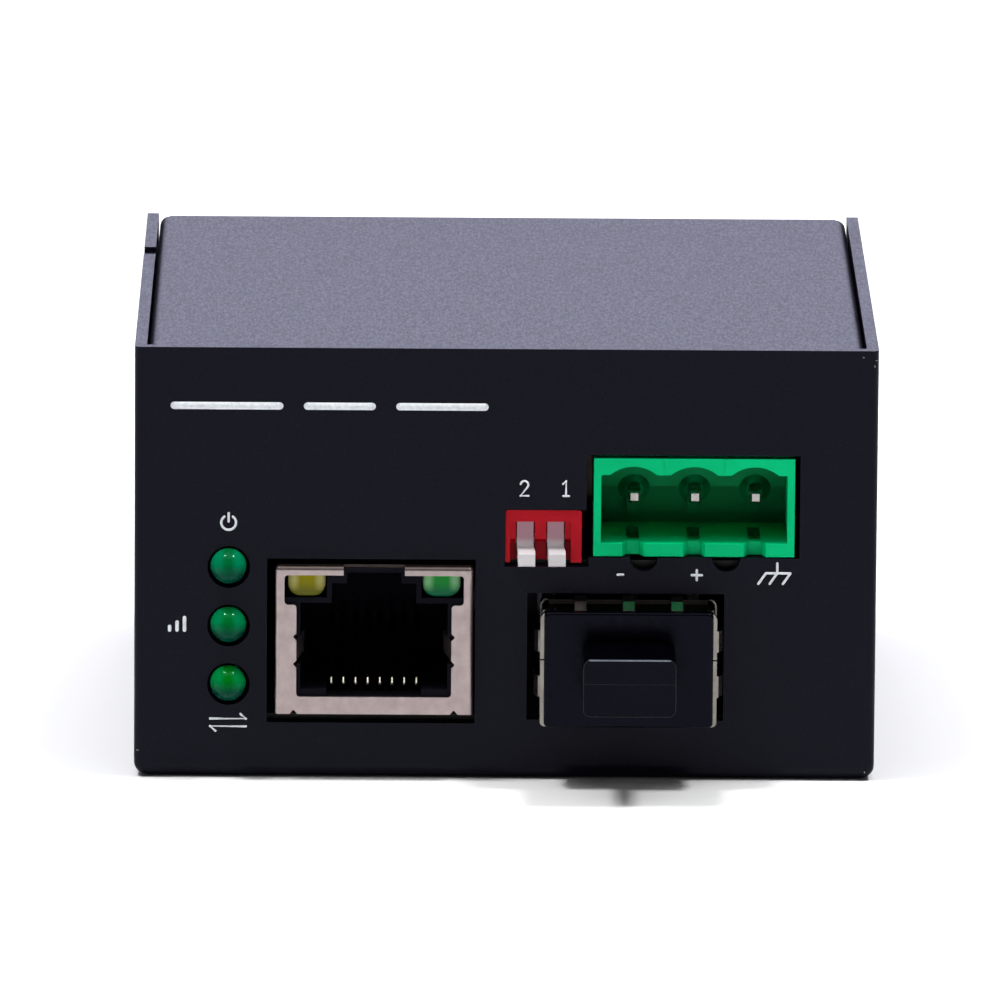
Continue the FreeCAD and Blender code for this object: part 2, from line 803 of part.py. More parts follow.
def rj45_shield():
    half = jack_width / 2
    outer = block(jack_x - half, jack_x + half, jack_front, jack_back, jack_bottom, jack_top)
    outer = outer.makeFillet(shield_bend, [e for e in outer.Edges if is_shield_fold(e)])
    inner = block(jack_x - half + shield, jack_x + half - shield, jack_front + shield, jack_back - shield,
                  jack_bottom - 1, jack_top - shield)
    mouth = [(-mouth_half, mouth_bottom), (mouth_half, mouth_bottom), (mouth_half, lens_window_bottom),
             (lens_window_half, lens_window_bottom), (lens_window_half, lens_window_top),
             (-lens_window_half, lens_window_top), (-lens_window_half, lens_window_bottom),
             (-mouth_half, lens_window_bottom)]
    round_all = mouth_corner
    tools = [prism(local(mouth), "xz", jack_front - 1, jack_front + 2 * shield, round_all)]
    tools.append(block(jack_x - latch_half, jack_x + latch_half, jack_front - 1, jack_front + 2 * shield,
                       jack_bottom + lens_window_top - 1, jack_top + 1))
    tools.append(block(jack_x - latch_half, jack_x + latch_half, jack_front - 1,
                       jack_front + latch_setback, jack_top - shield - 0.05, jack_top + 1))
    for way in (-1, 1):
        for level in (tab_centre - tab_height / 2, tab_centre + tab_height / 2):
            inside = way * (mouth_half - 0.1)
            slit = [(inside, level - tab_slit - 0.1), (way * (mouth_half + tab_slit), level),
                    (inside, level + tab_slit + 0.1)]
            tools.append(prism(local(slit), "xz", jack_front - 1, jack_front + 2 * shield,
                               (0, foot_notch_round, 0)))
        notch = [(way * foot_notch_x - foot_notch, -0.1), (way * foot_notch_x + foot_notch, -0.1),
                 (way * foot_notch_x, foot_notch)]
        tools.append(prism(local(notch), "xz", jack_front - 1, jack_front + 2 * shield,
                           (0, 0, foot_notch_round)))
    piece = cut(outer.cut(inner), tools)
    tabs = []
    for x, y in shield_tab_places():
        tabs.append(block(x - shield / 2, x + shield / 2, y - cage_pin_width, y + cage_pin_width,
                          main_bottom - lead_below, jack_bottom + 1))
    return fuse([piece] + tabs + ground_springs())


def is_shield_fold(edge):
    box = edge.BoundBox
    front = abs(box.YMin - jack_front) < 0.01 and box.YLength < 0.01
    on_top = abs(box.ZMin - jack_top) < 0.01 and box.ZLength < 0.01
    upright = box.ZLength > 1
    return on_top or (front and upright)


def ground_springs():
    # Strips folded back from the mouth's edges that lean in along the sides of the plug cavity.
    springs = []
    height = tab_height - 2 * tab_slit
    z0 = jack_bottom + tab_centre - height / 2
    for way in (-1, 1):
        root = mouth_half + shield
        outline = [(root, jack_front), (mouth_half, jack_front),
                   (mouth_half - tab_lean, jack_front + tab_length),
                   (root - tab_lean, jack_front + tab_length), (root, jack_front + 2 * shield)]
        places = [(jack_x + way * x, y) for x, y in outline]
        springs.append(prism(places, "xy", z0, z0 + height, (0, shield, 0, 0, 0)))
    return springs


def rj45_housing():
    fit = 0.03
    half = jack_width / 2 - shield - fit
    front = jack_front + shield + fit
    top = jack_height - shield - fit
    body = block(jack_x - half, jack_x + half, front, jack_back - shield - fit,
                 jack_bottom, jack_bottom + top)
    cavity = [(-plug_half, plug_floor), (plug_half, plug_floor), (plug_half, plug_top),
              (key_half, plug_top), (key_half, key_top), (key_slot_half, key_top),
              (key_slot_half, key_slot_top), (-key_slot_half, key_slot_top), (-key_slot_half, key_top),
              (-key_half, key_top), (-key_half, plug_top), (-plug_half, plug_top)]
    tools = [prism(local(cavity), "xz", front - 1, jack_front + plug_depth)]
    for way in (-1, 1):
        pocket = sorted([way * lens_pocket_inner, way * (half + 1)])
        tools.append(prism(local(rectangle(*pocket, lens_pocket_bottom, top + 1)), "xz",
                           front - 1, jack_front + lens_pocket_depth()))
        spring = sorted([way * (plug_half - 0.1), way * (mouth_half + shield + fit)])
        height = tab_height / 2
        tools.append(prism(local(rectangle(*spring, tab_centre - height, tab_centre + height)), "xz",
                           front - 1, jack_front + tab_length + 0.3))
    tools += comb_slots()
    body = cut(body, tools)
    ledges = []
    for way in (-1, 1):
        reach = sorted([way * (plug_half + 0.1), way * (plug_half - ledge_width)])
        ledges.append(prism(local(rectangle(*reach, plug_floor - 0.1, plug_floor + ledge_height)), "xz",
                            front, jack_front + plug_depth + 0.1))
    pegs = [rod(peg_radius, x, y, main_bottom - lead_below / 2, jack_bottom + 0.1)
            for x, y in jack_peg_places()]
    feet = [rod(2 * peg_radius, x, y, main_top, jack_bottom + 0.1) for x, y in jack_peg_places()]
    return fuse([body] + ledges + pegs + feet)


def lens_pocket_depth():
    return jack_depth * 0.4


def comb_slots():
    # Each contact lies in a slot of the floor, and its tip enters a slot in the cavity's back.
    offset = (contact_count - 1) / 2
    half = contact_slot / 2
    slots = []
    for i in range(contact_count):
        x = jack_x + (i - offset) * contact_pitch
        row = jack_pin_places()[i][1]
        low = jack_bottom + plug_floor - 1.0
        slots.append(block(x - half, x + half, jack_front + contact_front - 0.7, row + 0.45, low,
                           jack_bottom + plug_floor + 0.1))
        slots.append(block(x - half, x + half, row - 0.45, row + 0.45, jack_bottom - 1, low + 0.2))
        slots.append(block(x - half, x + half, jack_front + plug_depth - 0.1,
                           jack_front + plug_depth + 1.3, jack_bottom + plug_floor + contact_rise - 1.6,
                           jack_bottom + plug_floor + contact_rise + 1.6))
    return slots


def rj45_contacts():
    offset = (contact_count - 1) / 2
    wires = []
    for i in range(contact_count):
        x = jack_x + (i - offset) * contact_pitch
        row = jack_pin_places()[i][1]
        low = jack_bottom + plug_floor - 0.75
        high = jack_bottom + plug_floor
        near = jack_front + contact_front
        tip = jack_front + plug_depth + 0.9
        path = [(row, main_bottom - lead_below), (row, low), (near + 0.45, low), (near, low + 0.45),
                (near, high + 0.45), (near + 0.3, high + 0.85), (near + 1.6, high + 1.1),
                (tip, high + contact_rise)]
        wires.append(bent_wire(path, contact_radius, x))
    return Part.makeCompound(wires)


def rj45_lens(way):
    # A light guide: a flat-topped bar whose rounded underside shows in the window.
    x = jack_x + way * lens_x
    front = jack_front + shield + lens_gap
    outline = rectangle(x - lens_half, x + lens_half, jack_bottom + lens_bottom,
                        jack_top - shield - lens_gap)
    bar = prism(outline, "xz", front, jack_front + lens_pocket_depth() - lens_gap,
                (lens_corner, lens_corner, 0, 0))
    return bar.makeFillet(lens_edge, [e for e in bar.Edges if e.BoundBox.YMax < front + 0.01
                                      and e.BoundBox.ZMin < jack_top - shield - 2 * lens_gap])


# --- panel lamps ---
def lamp_levels():
    return [main_top + lowest_lamp + lamp_pitch * i for i in range(3)]


def lamp_back():
    return -lamp_proud + lamp_barrel + lamp_rim


def lamp_lead_places():
    rows = [lamp_back() + 0.8 + lead_step * i for i in range(3)]
    return [(lamp_x + way * lead_spread, y) for y in rows for way in (-1, 1)]


def panel_lamp(level):
    # A domed lamp on its side: barrel, half-ball nose and rim, turned about its axis.
    tip = -lamp_proud
    straight = tip + lamp_radius
    rim = tip + lamp_barrel
    z = lamp_levels()[level]
    arc = Part.Arc(vec(0, tip, 0), vec(lamp_radius * math.sin(math.pi / 4),
                                       straight - lamp_radius * math.cos(math.pi / 4), 0),
                   vec(lamp_radius, straight, 0)).toShape()
    rest = Part.makePolygon([vec(lamp_radius, straight, 0), vec(lamp_radius, rim, 0),
                             vec(lamp_rim_radius, rim, 0), vec(lamp_rim_radius, rim + lamp_rim, 0),
                             vec(0, rim + lamp_rim, 0), vec(0, tip, 0)])
    face = Part.Face(Part.Wire([arc] + rest.Edges))
    lamp = face.revolve(vec(0, 0, 0), vec(0, 1, 0), 360)
    lamp.translate(vec(lamp_x, 0, z))
    return lamp


def lamp_leads():
    wires = []
    places = lamp_lead_places()
    for level, z in enumerate(lamp_levels()):
        for x, y in places[2 * level:2 * level + 2]:
            flat = bore(lead_radius, x, z, lamp_back(), y)
            drop = rod(lead_radius, x, y, main_bottom - lead_below, z)
            elbow = Part.makeSphere(lead_radius, vec(x, y, z))
            wires.append(fuse([flat, drop, elbow]))
    return Part.makeCompound(wires)


def lamp_holder():
    # A black tower with a bore for each lamp, open at the back where the leads run down.
    front = sheet + holder_front_gap
    back = lamp_back() + 0.8 + 3 * lead_step
    top = lamp_levels()[-1] + lamp_rim_radius + holder_wall / 2
    half = holder_width / 2
    tower = prism(rectangle(lamp_x - half, lamp_x + half, front, back), "xy", main_top, top, 0.3)
    rim = -lamp_proud + lamp_barrel
    tools = [block(lamp_x - half + holder_wall / 3, lamp_x + half - holder_wall / 3, rim - 0.02, back + 1,
                   main_top - 1, top - holder_wall / 3)]
    tools += [bore(lamp_radius + 0.05, lamp_x, z, front - 1, rim + 1) for z in lamp_levels()]
    return cut(tower, tools)


# --- terminal header ---
def pole_places():
    offset = (pole_count - 1) / 2
    return [header_x + (i - offset) * pole_pitch for i in range(pole_count)]


def header_pin_places():
    return [(x + pin_shift, header_back + pin_leg_gap) for x in pole_places()]


def terminal_housing():
    half = header_width / 2
    top = header_bottom + header_height
    body = block(header_x - half, header_x + half, 0, header_depth, header_bottom, top)
    body = body.makeFillet(header_edge, [e for e in body.Edges if e.BoundBox.YMax < 0.01])
    ceiling = top - header_roof
    floor = header_bottom + header_floor
    tools = [block(header_x - half + header_side, header_x + half - header_side, -1,
                   header_cavity - shelf_depth, floor, ceiling)]
    level = header_bottom + pin_level
    tools.append(block(header_x - half + header_side, header_x + half - header_side, -1,
                       header_cavity, floor, level + shelf_rise))
    tools.append(block(header_x - half + header_side, header_x + half - header_side, -1,
                       header_cavity + heel_depth, floor, floor + heel_height))
    arc_radius = (scallop_width ** 2 / 8 / scallop_rise) + scallop_rise / 2
    for x in pole_places():
        arch = bore(arc_radius, x, ceiling + scallop_rise - arc_radius, -1, header_cavity - shelf_depth)
        tools.append(arch.common(block(x - pole_pitch / 2, x + pole_pitch / 2, -2, header_depth,
                                       ceiling - 0.5, top)))
        tools.append(bore(ring_radius, x + pin_shift, level, 0, header_cavity))
        flare = [(x - groove_flare / 2, -1), (x - groove_flare / 2, 0), (x - groove_width / 2, groove_depth),
                 (x + groove_width / 2, groove_depth), (x + groove_flare / 2, 0), (x + groove_flare / 2, -1)]
        tools.append(prism(flare, "xy", header_bottom - 1, floor + 0.1))
        tools.append(block(x - groove_width / 2, x + groove_width / 2, slot_start, slot_end,
                           floor - slot_depth, floor + 0.1))
    for i in range(pole_count - 1):
        x = pole_places()[i] + pole_pitch / 2
        tools.append(block(x - cell_line / 2, x + cell_line / 2, -1, cell_line,
                           ceiling - 1, top + 1))
        tools.append(block(x - cell_line / 2, x + cell_line / 2, -1, header_depth + 1,
                           top - cell_line, top + 1))
    body = cut(body, tools)
    ribs = []
    for x in pole_places():
        ribs.append(block(x - rib_width / 2, x + rib_width / 2, header_cavity - rib_depth,
                          header_cavity + 0.1, floor + heel_height, level))
        ribs.append(Part.makeCone(collar_base, collar_tip, collar_reach,
                                  vec(x + pin_shift, header_cavity, level), vec(0, -1, 0)))
    feet = []
    for way in (-1, 1):
        x = header_x + way * (half - header_end)
        feet.append(block(x - foot_half, x + foot_half, header_depth * 0.4, header_depth,
                          power_top, header_bottom + 0.1))
    bores = []
    reach = pin_size / 2 + pin_gap
    for x in pole_places():
        bores.append(block(x + pin_shift - reach, x + pin_shift + reach, 0, header_depth + 1,
                           level - reach, level + reach))
    return cut(fuse([body] + ribs + feet), bores)


def terminal_pins():
    # Square pins with bevelled tips that turn down behind the header into the board.
    level = header_bottom + pin_level
    half = pin_size / 2
    small = half - pin_chamfer
    pins = []
    for x, leg in header_pin_places():
        bar = block(x - half, x + half, pin_recess + pin_chamfer, leg + half, level - half, level + half)
        tip = Part.makeLoft([
            square_wire(x, level, small, pin_recess),
            square_wire(x, level, half, pin_recess + pin_chamfer)], True)
        drop = block(x - half, x + half, leg - half, leg + half, power_bottom - lead_below, level)
        pins.append(fuse([bar, tip, drop]))
    return Part.makeCompound(pins)


def square_wire(x, z, half, y):
    corners = [vec(x - half, y, z - half), vec(x + half, y, z - half), vec(x + half, y, z + half),
               vec(x - half, y, z + half)]
    return Part.makePolygon(corners + [corners[0]])


# --- two-way switch ---
def lever_places():
    offset = (lever_count - 1) / 2
    return [switch_x + lever_shift + (i - offset) * lever_pitch for i in range(lever_count)]


def switch_pin_places():
    front = switch_set_back + switch_pin_front
    return [(x, y) for x in lever_places() for y in (front, front + switch_pin_row)]


def pivot():
    return switch_set_back + pivot_back, power_top + pivot_up


def dip_body():
    front = switch_set_back
    half = switch_width / 2
    top = power_top + switch_height
    body = prism(rectangle(switch_x - half, switch_x + half, power_top, top), "xz",
                 front, front + switch_depth, (0, 0, 0.2, 0.2))
    middle = switch_x + lever_shift
    step = power_top + undercut_height
    sunk = front + face_recess
    recess = [(front - 1, power_top - 1), (sunk + undercut_depth, power_top - 1),
              (sunk + undercut_depth, step - undercut_depth / 3), (sunk, step), (sunk, top - face_top),
              (front - 1, top - face_top + 0.2)]
    tools = [prism(recess, "yz", middle - face_half, middle + face_half, (0, 0, 0.3, 0.2, 0, 0))]
    y, z = pivot()
    for x in lever_places():
        tools.append(block(x - slot_width / 2, x + slot_width / 2, front - 1, front + slot_run,
                           power_top + slot_floor_wall, top - face_top))
        tools.append(block(x - slot_width / 2, x + slot_width / 2, front + pivot_back - apron_front - 0.03,
                           front + slot_run,
                           power_top + slot_floor_wall, top - slot_top_wall))
        reach = slot_width / 2 + pivot_length
        tools.append(Part.makeCylinder(pivot_radius + pivot_gap, 2 * reach, vec(x - reach, y, z),
                                       vec(1, 0, 0)))
    return cut(body, tools)


def dip_lever(x):
    # A rocker: a drum on two short pivots, an apron that closes the slot and a square finger peg.
    y, z = pivot()
    half = lever_width / 2
    turn = math.radians(rest_angle)

    def along(reach, rise):
        # A place on the tilted peg, from the pivot: towards its end and above its middle.
        drop = rise - peg_drop
        return (y - reach * math.cos(turn) + drop * math.sin(turn),
                z - reach * math.sin(turn) + drop * math.cos(turn))

    rise = peg_thickness / 2
    face = y - apron_front
    corner = (face, along((apron_front + (rise - peg_drop) * math.sin(turn)) / math.cos(turn), rise)[1])
    outline = [(y, z + apron_radius), (face, z + apron_radius), corner, along(peg_reach, rise),
               along(peg_reach, -rise), along(0, -rise)]
    wide = prism(outline, "yz", x - 2 * half, x + 2 * half, (0, 0, peg_root_radius, peg_edge, peg_edge, 0))
    end = along(peg_reach, rise)[0]
    plan = [(x - half, y), (x - half, face), (x - half + peg_inset_left, end + peg_thickness / 2),
            (x - half + peg_inset_left, end - 1), (x + half + peg_flare_right, end - 1),
            (x + half + peg_flare_right, end + peg_thickness / 2), (x + half, face), (x + half, y)]
    reached = Part.makeCylinder(peg_reach + peg_thickness, 4 * half, vec(x - 2 * half, y, z), vec(1, 0, 0))
    swing = Part.makeCylinder(apron_radius, 4 * half, vec(x - 2 * half, y, z), vec(1, 0, 0))
    above = block(x - 2 * half, x + 2 * half, y - 3, y, z + apron_radius / 2, z + 3)
    body = wide.common(prism(plan, "xy", z - 5, z + 5)).common(reached)
    body = body.cut(above.cut(swing))
    drum = Part.makeCylinder(drum_radius, lever_width, vec(x - half, y, z), vec(1, 0, 0))
    reach = slot_width / 2 + pivot_length - pivot_gap
    axle = Part.makeCylinder(pivot_radius, 2 * reach, vec(x - reach, y, z), vec(1, 0, 0))
    return fuse([body, drum, axle])


def dip_pins():
    return Part.makeCompound(leads(switch_pin_places(), switch_pin_radius, power_top, power_bottom))


# --- transceiver cage ---
def cage_pin_places():
    reach = cage_width / 2 - cage_sheet / 2
    return [(cage_x + way * reach, cage_front + cage_pin_front + cage_pin_pitch * i)
            for i in range(cage_pin_count) for way in (-1, 1)]


def cage_outline(grow):
    half = cage_width / 2 + grow
    return rectangle(cage_x - half, cage_x + half, main_top - grow, cage_top + grow)


def cage_radii(grow):
    low = max(cage_bottom_bend + grow, 0.05)
    high = max(cage_top_bend + grow, 0.05)
    return low, low, high, high


def sfp_cage():
    tube = prism(cage_outline(0), "xz", cage_front, cage_back, cage_radii(0))
    half = cage_width / 2 + lip_height
    low, high = cage_bottom_bend, cage_top_bend
    lip = prism(rectangle(cage_x - half, cage_x + half, main_top, cage_top), "xz",
                cage_front, cage_front + lip_length, (low, low, high, high))
    tube = fuse([tube, lip])
    hollow = prism(cage_outline(-cage_sheet), "xz", cage_front - 1, cage_back - cage_sheet,
                   cage_radii(-cage_sheet))
    tools = []
    mouth = cage_front + cage_latch_setback
    tools.append(block(cage_x - cage_latch_width / 2, cage_x + cage_latch_width / 2, mouth,
                       mouth + cage_latch_length, main_top - 1, main_top + cage_sheet + 0.1))
    socket_front = cage_back - socket_from_back - socket_depth
    tools.append(block(cage_x - socket_width / 2 - 0.4, cage_x + socket_width / 2 + 0.4, socket_front - 0.8,
                       cage_back - cage_sheet, main_top - 1, main_top + cage_sheet + 0.1))
    level = main_top + cage_seam_level
    for way in (-1, 1):
        edge = cage_x + way * cage_width / 2
        tools.append(block(edge - 1, edge + 1, cage_front - 1, cage_front + cage_seam_length,
                           level - cage_seam / 2, level + cage_seam / 2))
    middle = (sheet + socket_front) / 2
    for row in range(cage_vent_rows):
        for column in range(cage_vent_columns):
            x = cage_x + (row - (cage_vent_rows - 1) / 2) * cage_vent_pitch
            y = middle + (column - (cage_vent_columns - 1) / 2) * cage_vent_pitch
            tools.append(rod(cage_vent_radius, x, y, cage_top - 1, cage_top + 1))
    shell = cut(tube.cut(hollow), tools)
    pins = [block(x - cage_sheet / 2, x + cage_sheet / 2, y - cage_pin_width / 2, y + cage_pin_width / 2,
                  main_top - cage_pin_length, main_top + 1) for x, y in cage_pin_places()]
    return fuse([shell] + pins)


def finger_profile(start, rise, root):
    # A sprung finger seen from the side: from its tip on the cage up to the panel and down to the band.
    back = cage_proud
    reach = back - start
    low = collar_sheet / 2 + collar_gap
    return [(start, low), (start + reach * 0.27, rise * 0.42), (start + reach * 0.55, rise * 0.72),
            (start + reach * 0.85, rise * 0.97), (back + 0.25, rise), (back + 0.9, (rise + root) / 2),
            (back + 1.3, root)]


def sfp_spring_collar():
    # A thin band round the cage inside the panel's opening, with fingers sprung forward from it.
    far = collar_length
    half = cage_width / 2 + collar_gap
    arch = cage_top + collar_arch
    bend = collar_bend
    outer = prism(rectangle(cage_x - half - collar_sheet, cage_x + half + collar_sheet, main_top - 1,
                            arch + collar_sheet), "xz", 0, far, (0, 0, bend, bend))
    inner = prism(rectangle(cage_x - half, cage_x + half, main_top - 2, arch), "xz", -1, far + 1,
                  (0, 0, bend - collar_sheet, bend - collar_sheet))
    floor = block(cage_x - cage_width, cage_x + cage_width, -1, far + 1, main_top - 2,
                  main_top + cage_bottom_bend + 0.2)
    band = outer.cut(inner).cut(floor)
    fingers = []
    profile = finger_profile(finger_tip, finger_rise, collar_arch + collar_sheet / 2)
    path = [(cage_front + y, cage_top + rise) for y, rise in profile]
    for i in (-1, 0, 1):
        fingers.append(ribbon(path, collar_sheet, cage_x + i * top_finger_pitch, finger_width))
    profile = finger_profile(lip_length + finger_tip, side_finger_rise, collar_gap + collar_sheet / 2)
    side = ribbon([(cage_front + y, rise) for y, rise in profile], collar_sheet, 0, finger_height)
    for way in (-1, 1):
        for i in (-1, 1):
            copy = side.copy()
            copy.rotate(vec(0, 0, 0), vec(0, 1, 0), way * 90)
            copy.translate(vec(cage_x + way * cage_width / 2, 0,
                               main_top + side_finger_centre + i * side_finger_pitch / 2))
            fingers.append(copy)
    return fuse([band] + fingers)


def sfp_connector():
    back = cage_back - socket_from_back
    front = back - socket_depth
    half = socket_width / 2
    body = block(cage_x - half, cage_x + half, front, back, main_top, main_top + socket_height)
    top = main_top + socket_height
    slope = prism([(front - 0.1, top - socket_bevel), (front + socket_bevel, top + 0.1),
                   (front - 0.1, top + 0.1)], "yz", cage_x - half - 1, cage_x + half + 1)
    level = main_top + socket_slot_level
    slot = block(cage_x - socket_slot_width / 2, cage_x + socket_slot_width / 2, front - 1,
                 front + socket_slot_depth, level - socket_slot_height / 2, level + socket_slot_height / 2)
    return cut(body, [slope, slot])


# --- dust plug ---
def dust_plug():
    gap = cage_sheet + plug_fit
    face = cage_front - flange_seat
    insert = prism(cage_outline(-gap), "xz", face - flange_thickness / 2, face + plug_insert,
                   cage_radii(-gap))
    core = prism(cage_outline(-gap - plug_wall), "xz", face + flange_thickness, face + plug_insert + 1,
                 cage_radii(-gap - plug_wall))
    half = cage_width / 2 - flange_side
    flange = prism(rectangle(cage_x - half, cage_x + half, main_top + cage_sheet / 2,
                             cage_top + flange_over), "xz", face - flange_thickness, face, flange_corner)
    flange = flange.makeFillet(flange_thickness * 0.2,
                               [e for e in flange.Edges if e.BoundBox.YMax < face - flange_thickness / 2])
    middle = (main_top + cage_top) / 2
    tip = face - flange_thickness - handle_length
    handle = prism(rectangle(cage_x - handle_width / 2, cage_x + handle_width / 2,
                             middle - handle_height / 2, middle + handle_height / 2), "xz",
                   tip, face - flange_thickness / 2, handle_corner)
    handle = handle.makeFillet(handle_edge, [e for e in handle.Edges if e.BoundBox.YMax < tip + 0.01])
    return fuse([insert.cut(core), flange, handle])


# --- pieces on the main board ---
def box_on_board(centre, size, bottom, radius):
    x, y = centre
    return prism(rectangle(x - size[0] / 2, x + size[0] / 2, y - size[1] / 2, y + size[1] / 2), "xy",
                 bottom, bottom + size[2], radius)


def gull_lead(reach, height, width):
    # A gull-wing lead that leaves a body along +Y at y = 0 and lands on the board at z = 0.
    t = gull_thickness
    path = [(-0.05, height), (reach * 0.3, height), (reach * 0.55, t / 2 + 0.01), (reach, t / 2 + 0.01)]
    return ribbon(path, t, 0, width)


def lead_row(count, pitch, lead, centre, distance, angle, bottom):
    row = []
    for i in range(count):
        copy = lead.copy()
        copy.translate(vec((i - (count - 1) / 2) * pitch, distance, 0))
        copy.rotate(vec(0, 0, 0), vec(0, 0, 1), angle)
        copy.translate(vec(centre[0], centre[1], bottom))
        row.append(copy)
    return row


def transformer_centre():
    return jack_x, jack_back + transformer_gap + transformer[1] / 2


def line_transformer():
    return box_on_board(transformer_centre(), transformer, main_top + chip_lift, 0.3)


def transformer_lead_rows():
    lead = gull_lead(transformer_gull_reach, transformer[2] * 0.4, transformer_gull_width)
    rows = []
    for angle in (0, 180):
        rows += lead_row(transformer_lead_count, transformer_lead_pitch, lead, transformer_centre(),
                         transformer[1] / 2 + 0.06, angle, main_top)
    return Part.makeCompound(rows)


def chip_centre():
    x, y = transformer_centre()
    return x, y + transformer[1] / 2 + chip_gap + chip[1] / 2


def converter_chip():
    body = box_on_board(chip_centre(), chip, main_top + chip_lift, 0.4)
    x, y = chip_centre()
    mark = rod(0.5, x - chip[0] / 2 + 1.3, y - chip[1] / 2 + 1.3, main_top + chip_lift + chip[2] - 0.1,
               main_top + chip_lift + chip[2] + 1)
    return body.cut(mark)


def chip_lead_rows():
    lead = gull_lead(chip_gull_reach, chip_lift + chip[2] / 2, chip_lead_pitch * 0.4)
    rows = []
    for side in range(4):
        half = (chip[1] if side % 2 == 0 else chip[0]) / 2
        rows += lead_row(chip_lead_count, chip_lead_pitch, lead, chip_centre(), half + 0.06,
                         90 * side, main_top)
    return Part.makeCompound(rows)


def stadium(centre, length, width, z0, z1):
    x, y = centre
    r = width / 2
    return prism(rectangle(x - length / 2, x + length / 2, y - r, y + r), "xy", z0, z1, r * 0.999)


def crystal():
    x, y = chip_centre()
    centre = (x - chip[0] / 2 - chip_gull_reach - crystal_gap - crystal_width / 2, y)
    rim = stadium((0, 0), crystal_length, crystal_width, 0, 0.4)
    can = stadium((0, 0), crystal_length - 2 * crystal_rim, crystal_width - 2 * crystal_rim, 0.4,
                  crystal_height)
    can = can.makeFillet(0.4, [e for e in can.Edges if e.BoundBox.ZMin > crystal_height - 0.01])
    piece = fuse([rim, can])
    piece.rotate(vec(0, 0, 0), vec(0, 0, 1), 90)
    piece.translate(vec(centre[0], centre[1], main_top))
    return piece


def right_lane():
    # Middle of the strip between the cage and the boards' right edge.
    return (cage_x + cage_width / 2 + board_half) / 2


def power_inductor():
    x, y = right_lane(), front_hole_y + inductor_gap
    body = box_on_board((x, y), inductor, main_top, 1.2)
    core = rod(inductor[0] * 0.36, x, y, main_top + inductor[2] - 0.25, main_top + inductor[2] + 1)
    ring = rod(inductor[0] * 0.26, x, y, main_top + inductor[2] - 0.3, main_top + inductor[2])
    return fuse([body.cut(core), ring])


def round_can(centre, radius, height, bottom):
    # An electrolytic can: rolled groove near the foot and a rounded shoulder.
    groove = can_groove
    outline = [(0, 0), (radius - 0.3, 0), (radius, 0.4), (radius, 1.2), (radius - groove, 1.6),
               (radius, 2.0), (radius, height - 0.5), (radius - 0.5, height), (0, height)]
    points = [vec(r, 0, z) for r, z in outline]
    can = Part.Face(Part.makePolygon(points + [points[0]])).revolve(vec(0, 0, 0), vec(0, 0, 1), 360)
    can.translate(vec(centre[0], centre[1], bottom))
    return can


def small_can_main():
    return right_lane(), front_hole_y + small_can_gap


def small_can_power():
    x, y = module_centre()
    return x + module[0] / 2 + small_can_module_gap + small_can_radius, y


def small_can_leads(centre):
    return [(centre[0], centre[1] + way * small_can_pitch / 2) for way in (-1, 1)]


def big_can_centre():
    return header_x + big_can_shift, header_back + pin_leg_gap + filter_row_gap


def big_can_leads():
    x, y = big_can_centre()
    return [(x + way * filter_lead_pitch / 2, y) for way in (-1, 1)]


def smoothing_capacitors():
    cans = [round_can(small_can_main(), small_can_radius, small_can_height, main_top),
            round_can(small_can_power(), small_can_radius, small_can_height, power_top)]
    wires = leads(small_can_leads(small_can_main()), lead_radius, main_top, main_bottom)
    wires += leads(small_can_leads(small_can_power()), lead_radius, power_top, power_bottom)
    return Part.makeCompound([fuse([cans[i]] + wires[2 * i:2 * i + 2]) for i in range(2)])


def input_capacitor():
    can = round_can(big_can_centre(), big_can_radius, big_can_height, power_top)
    return fuse([can] + leads(big_can_leads(), lead_radius, power_top, power_bottom))


# --- pieces on the power board ---
def module_centre():
    return module_shift, rear_hole_y - module_hole_gap - module[1] / 2


def module_leads():
    x, y = module_centre()
    return [(x + offset, y - module[1] / 2 + module_pin_inset) for offset in (-7.62, -5.08, 2.54, 7.62)]


def isolating_converter():
    body = box_on_board(module_centre(), module, power_top + module_lift, 0.5)
    return fuse([body] + leads(module_leads(), lead_radius, power_top + module_lift + 0.1, power_bottom))


def choke_centre():
    return header_x + choke_shift, header_back + pin_leg_gap + filter_row_gap


def choke_leads():
    x, y = choke_centre()
    return [(x + way * filter_lead_pitch / 2, y) for way in (-1, 1)]


def input_choke():
    x, y = choke_centre()
    low = rod(choke_radius, x, y, power_top, power_top + choke_flange)
    high = rod(choke_radius, x, y, power_top + choke_height - choke_flange, power_top + choke_height)
    core = rod(choke_core, x, y, power_top, power_top + choke_height)
    return fuse([low, high, core] + leads(choke_leads(), lead_radius, power_top, power_bottom))


def choke_winding():
    x, y = choke_centre()
    outer = rod(choke_radius - choke_flange_overhang, x, y, power_top + choke_flange,
                power_top + choke_height - choke_flange)
    return outer.cut(rod(choke_core, x, y, power_top, power_top + choke_height))


def fuse_place():
    return header_x + fuse_shift, header_back + pin_leg_gap + fuse_row_gap


def suppressor_place():
    return header_x + suppressor_shift, header_back + pin_leg_gap + suppressor_row_gap


def disc_leads(place):
    return [(place[0] + way * disc_lead_pitch / 2, place[1]) for way in (-1, 1)]


def disc_part(place, thickness):
    # A dipped disc that stands on its edge on two straight leads.
    x, y = place
    middle = power_top + disc_lift + disc_radius
    disc = bore(disc_radius, x, middle, y - thickness / 2, y + thickness / 2)
    disc = disc.makeFillet(thickness * 0.3, [e for e in disc.Edges if e.Curve.TypeId == "Part::GeomCircle"])
    return fuse([disc] + leads(disc_leads(place), lead_radius, middle, power_bottom))


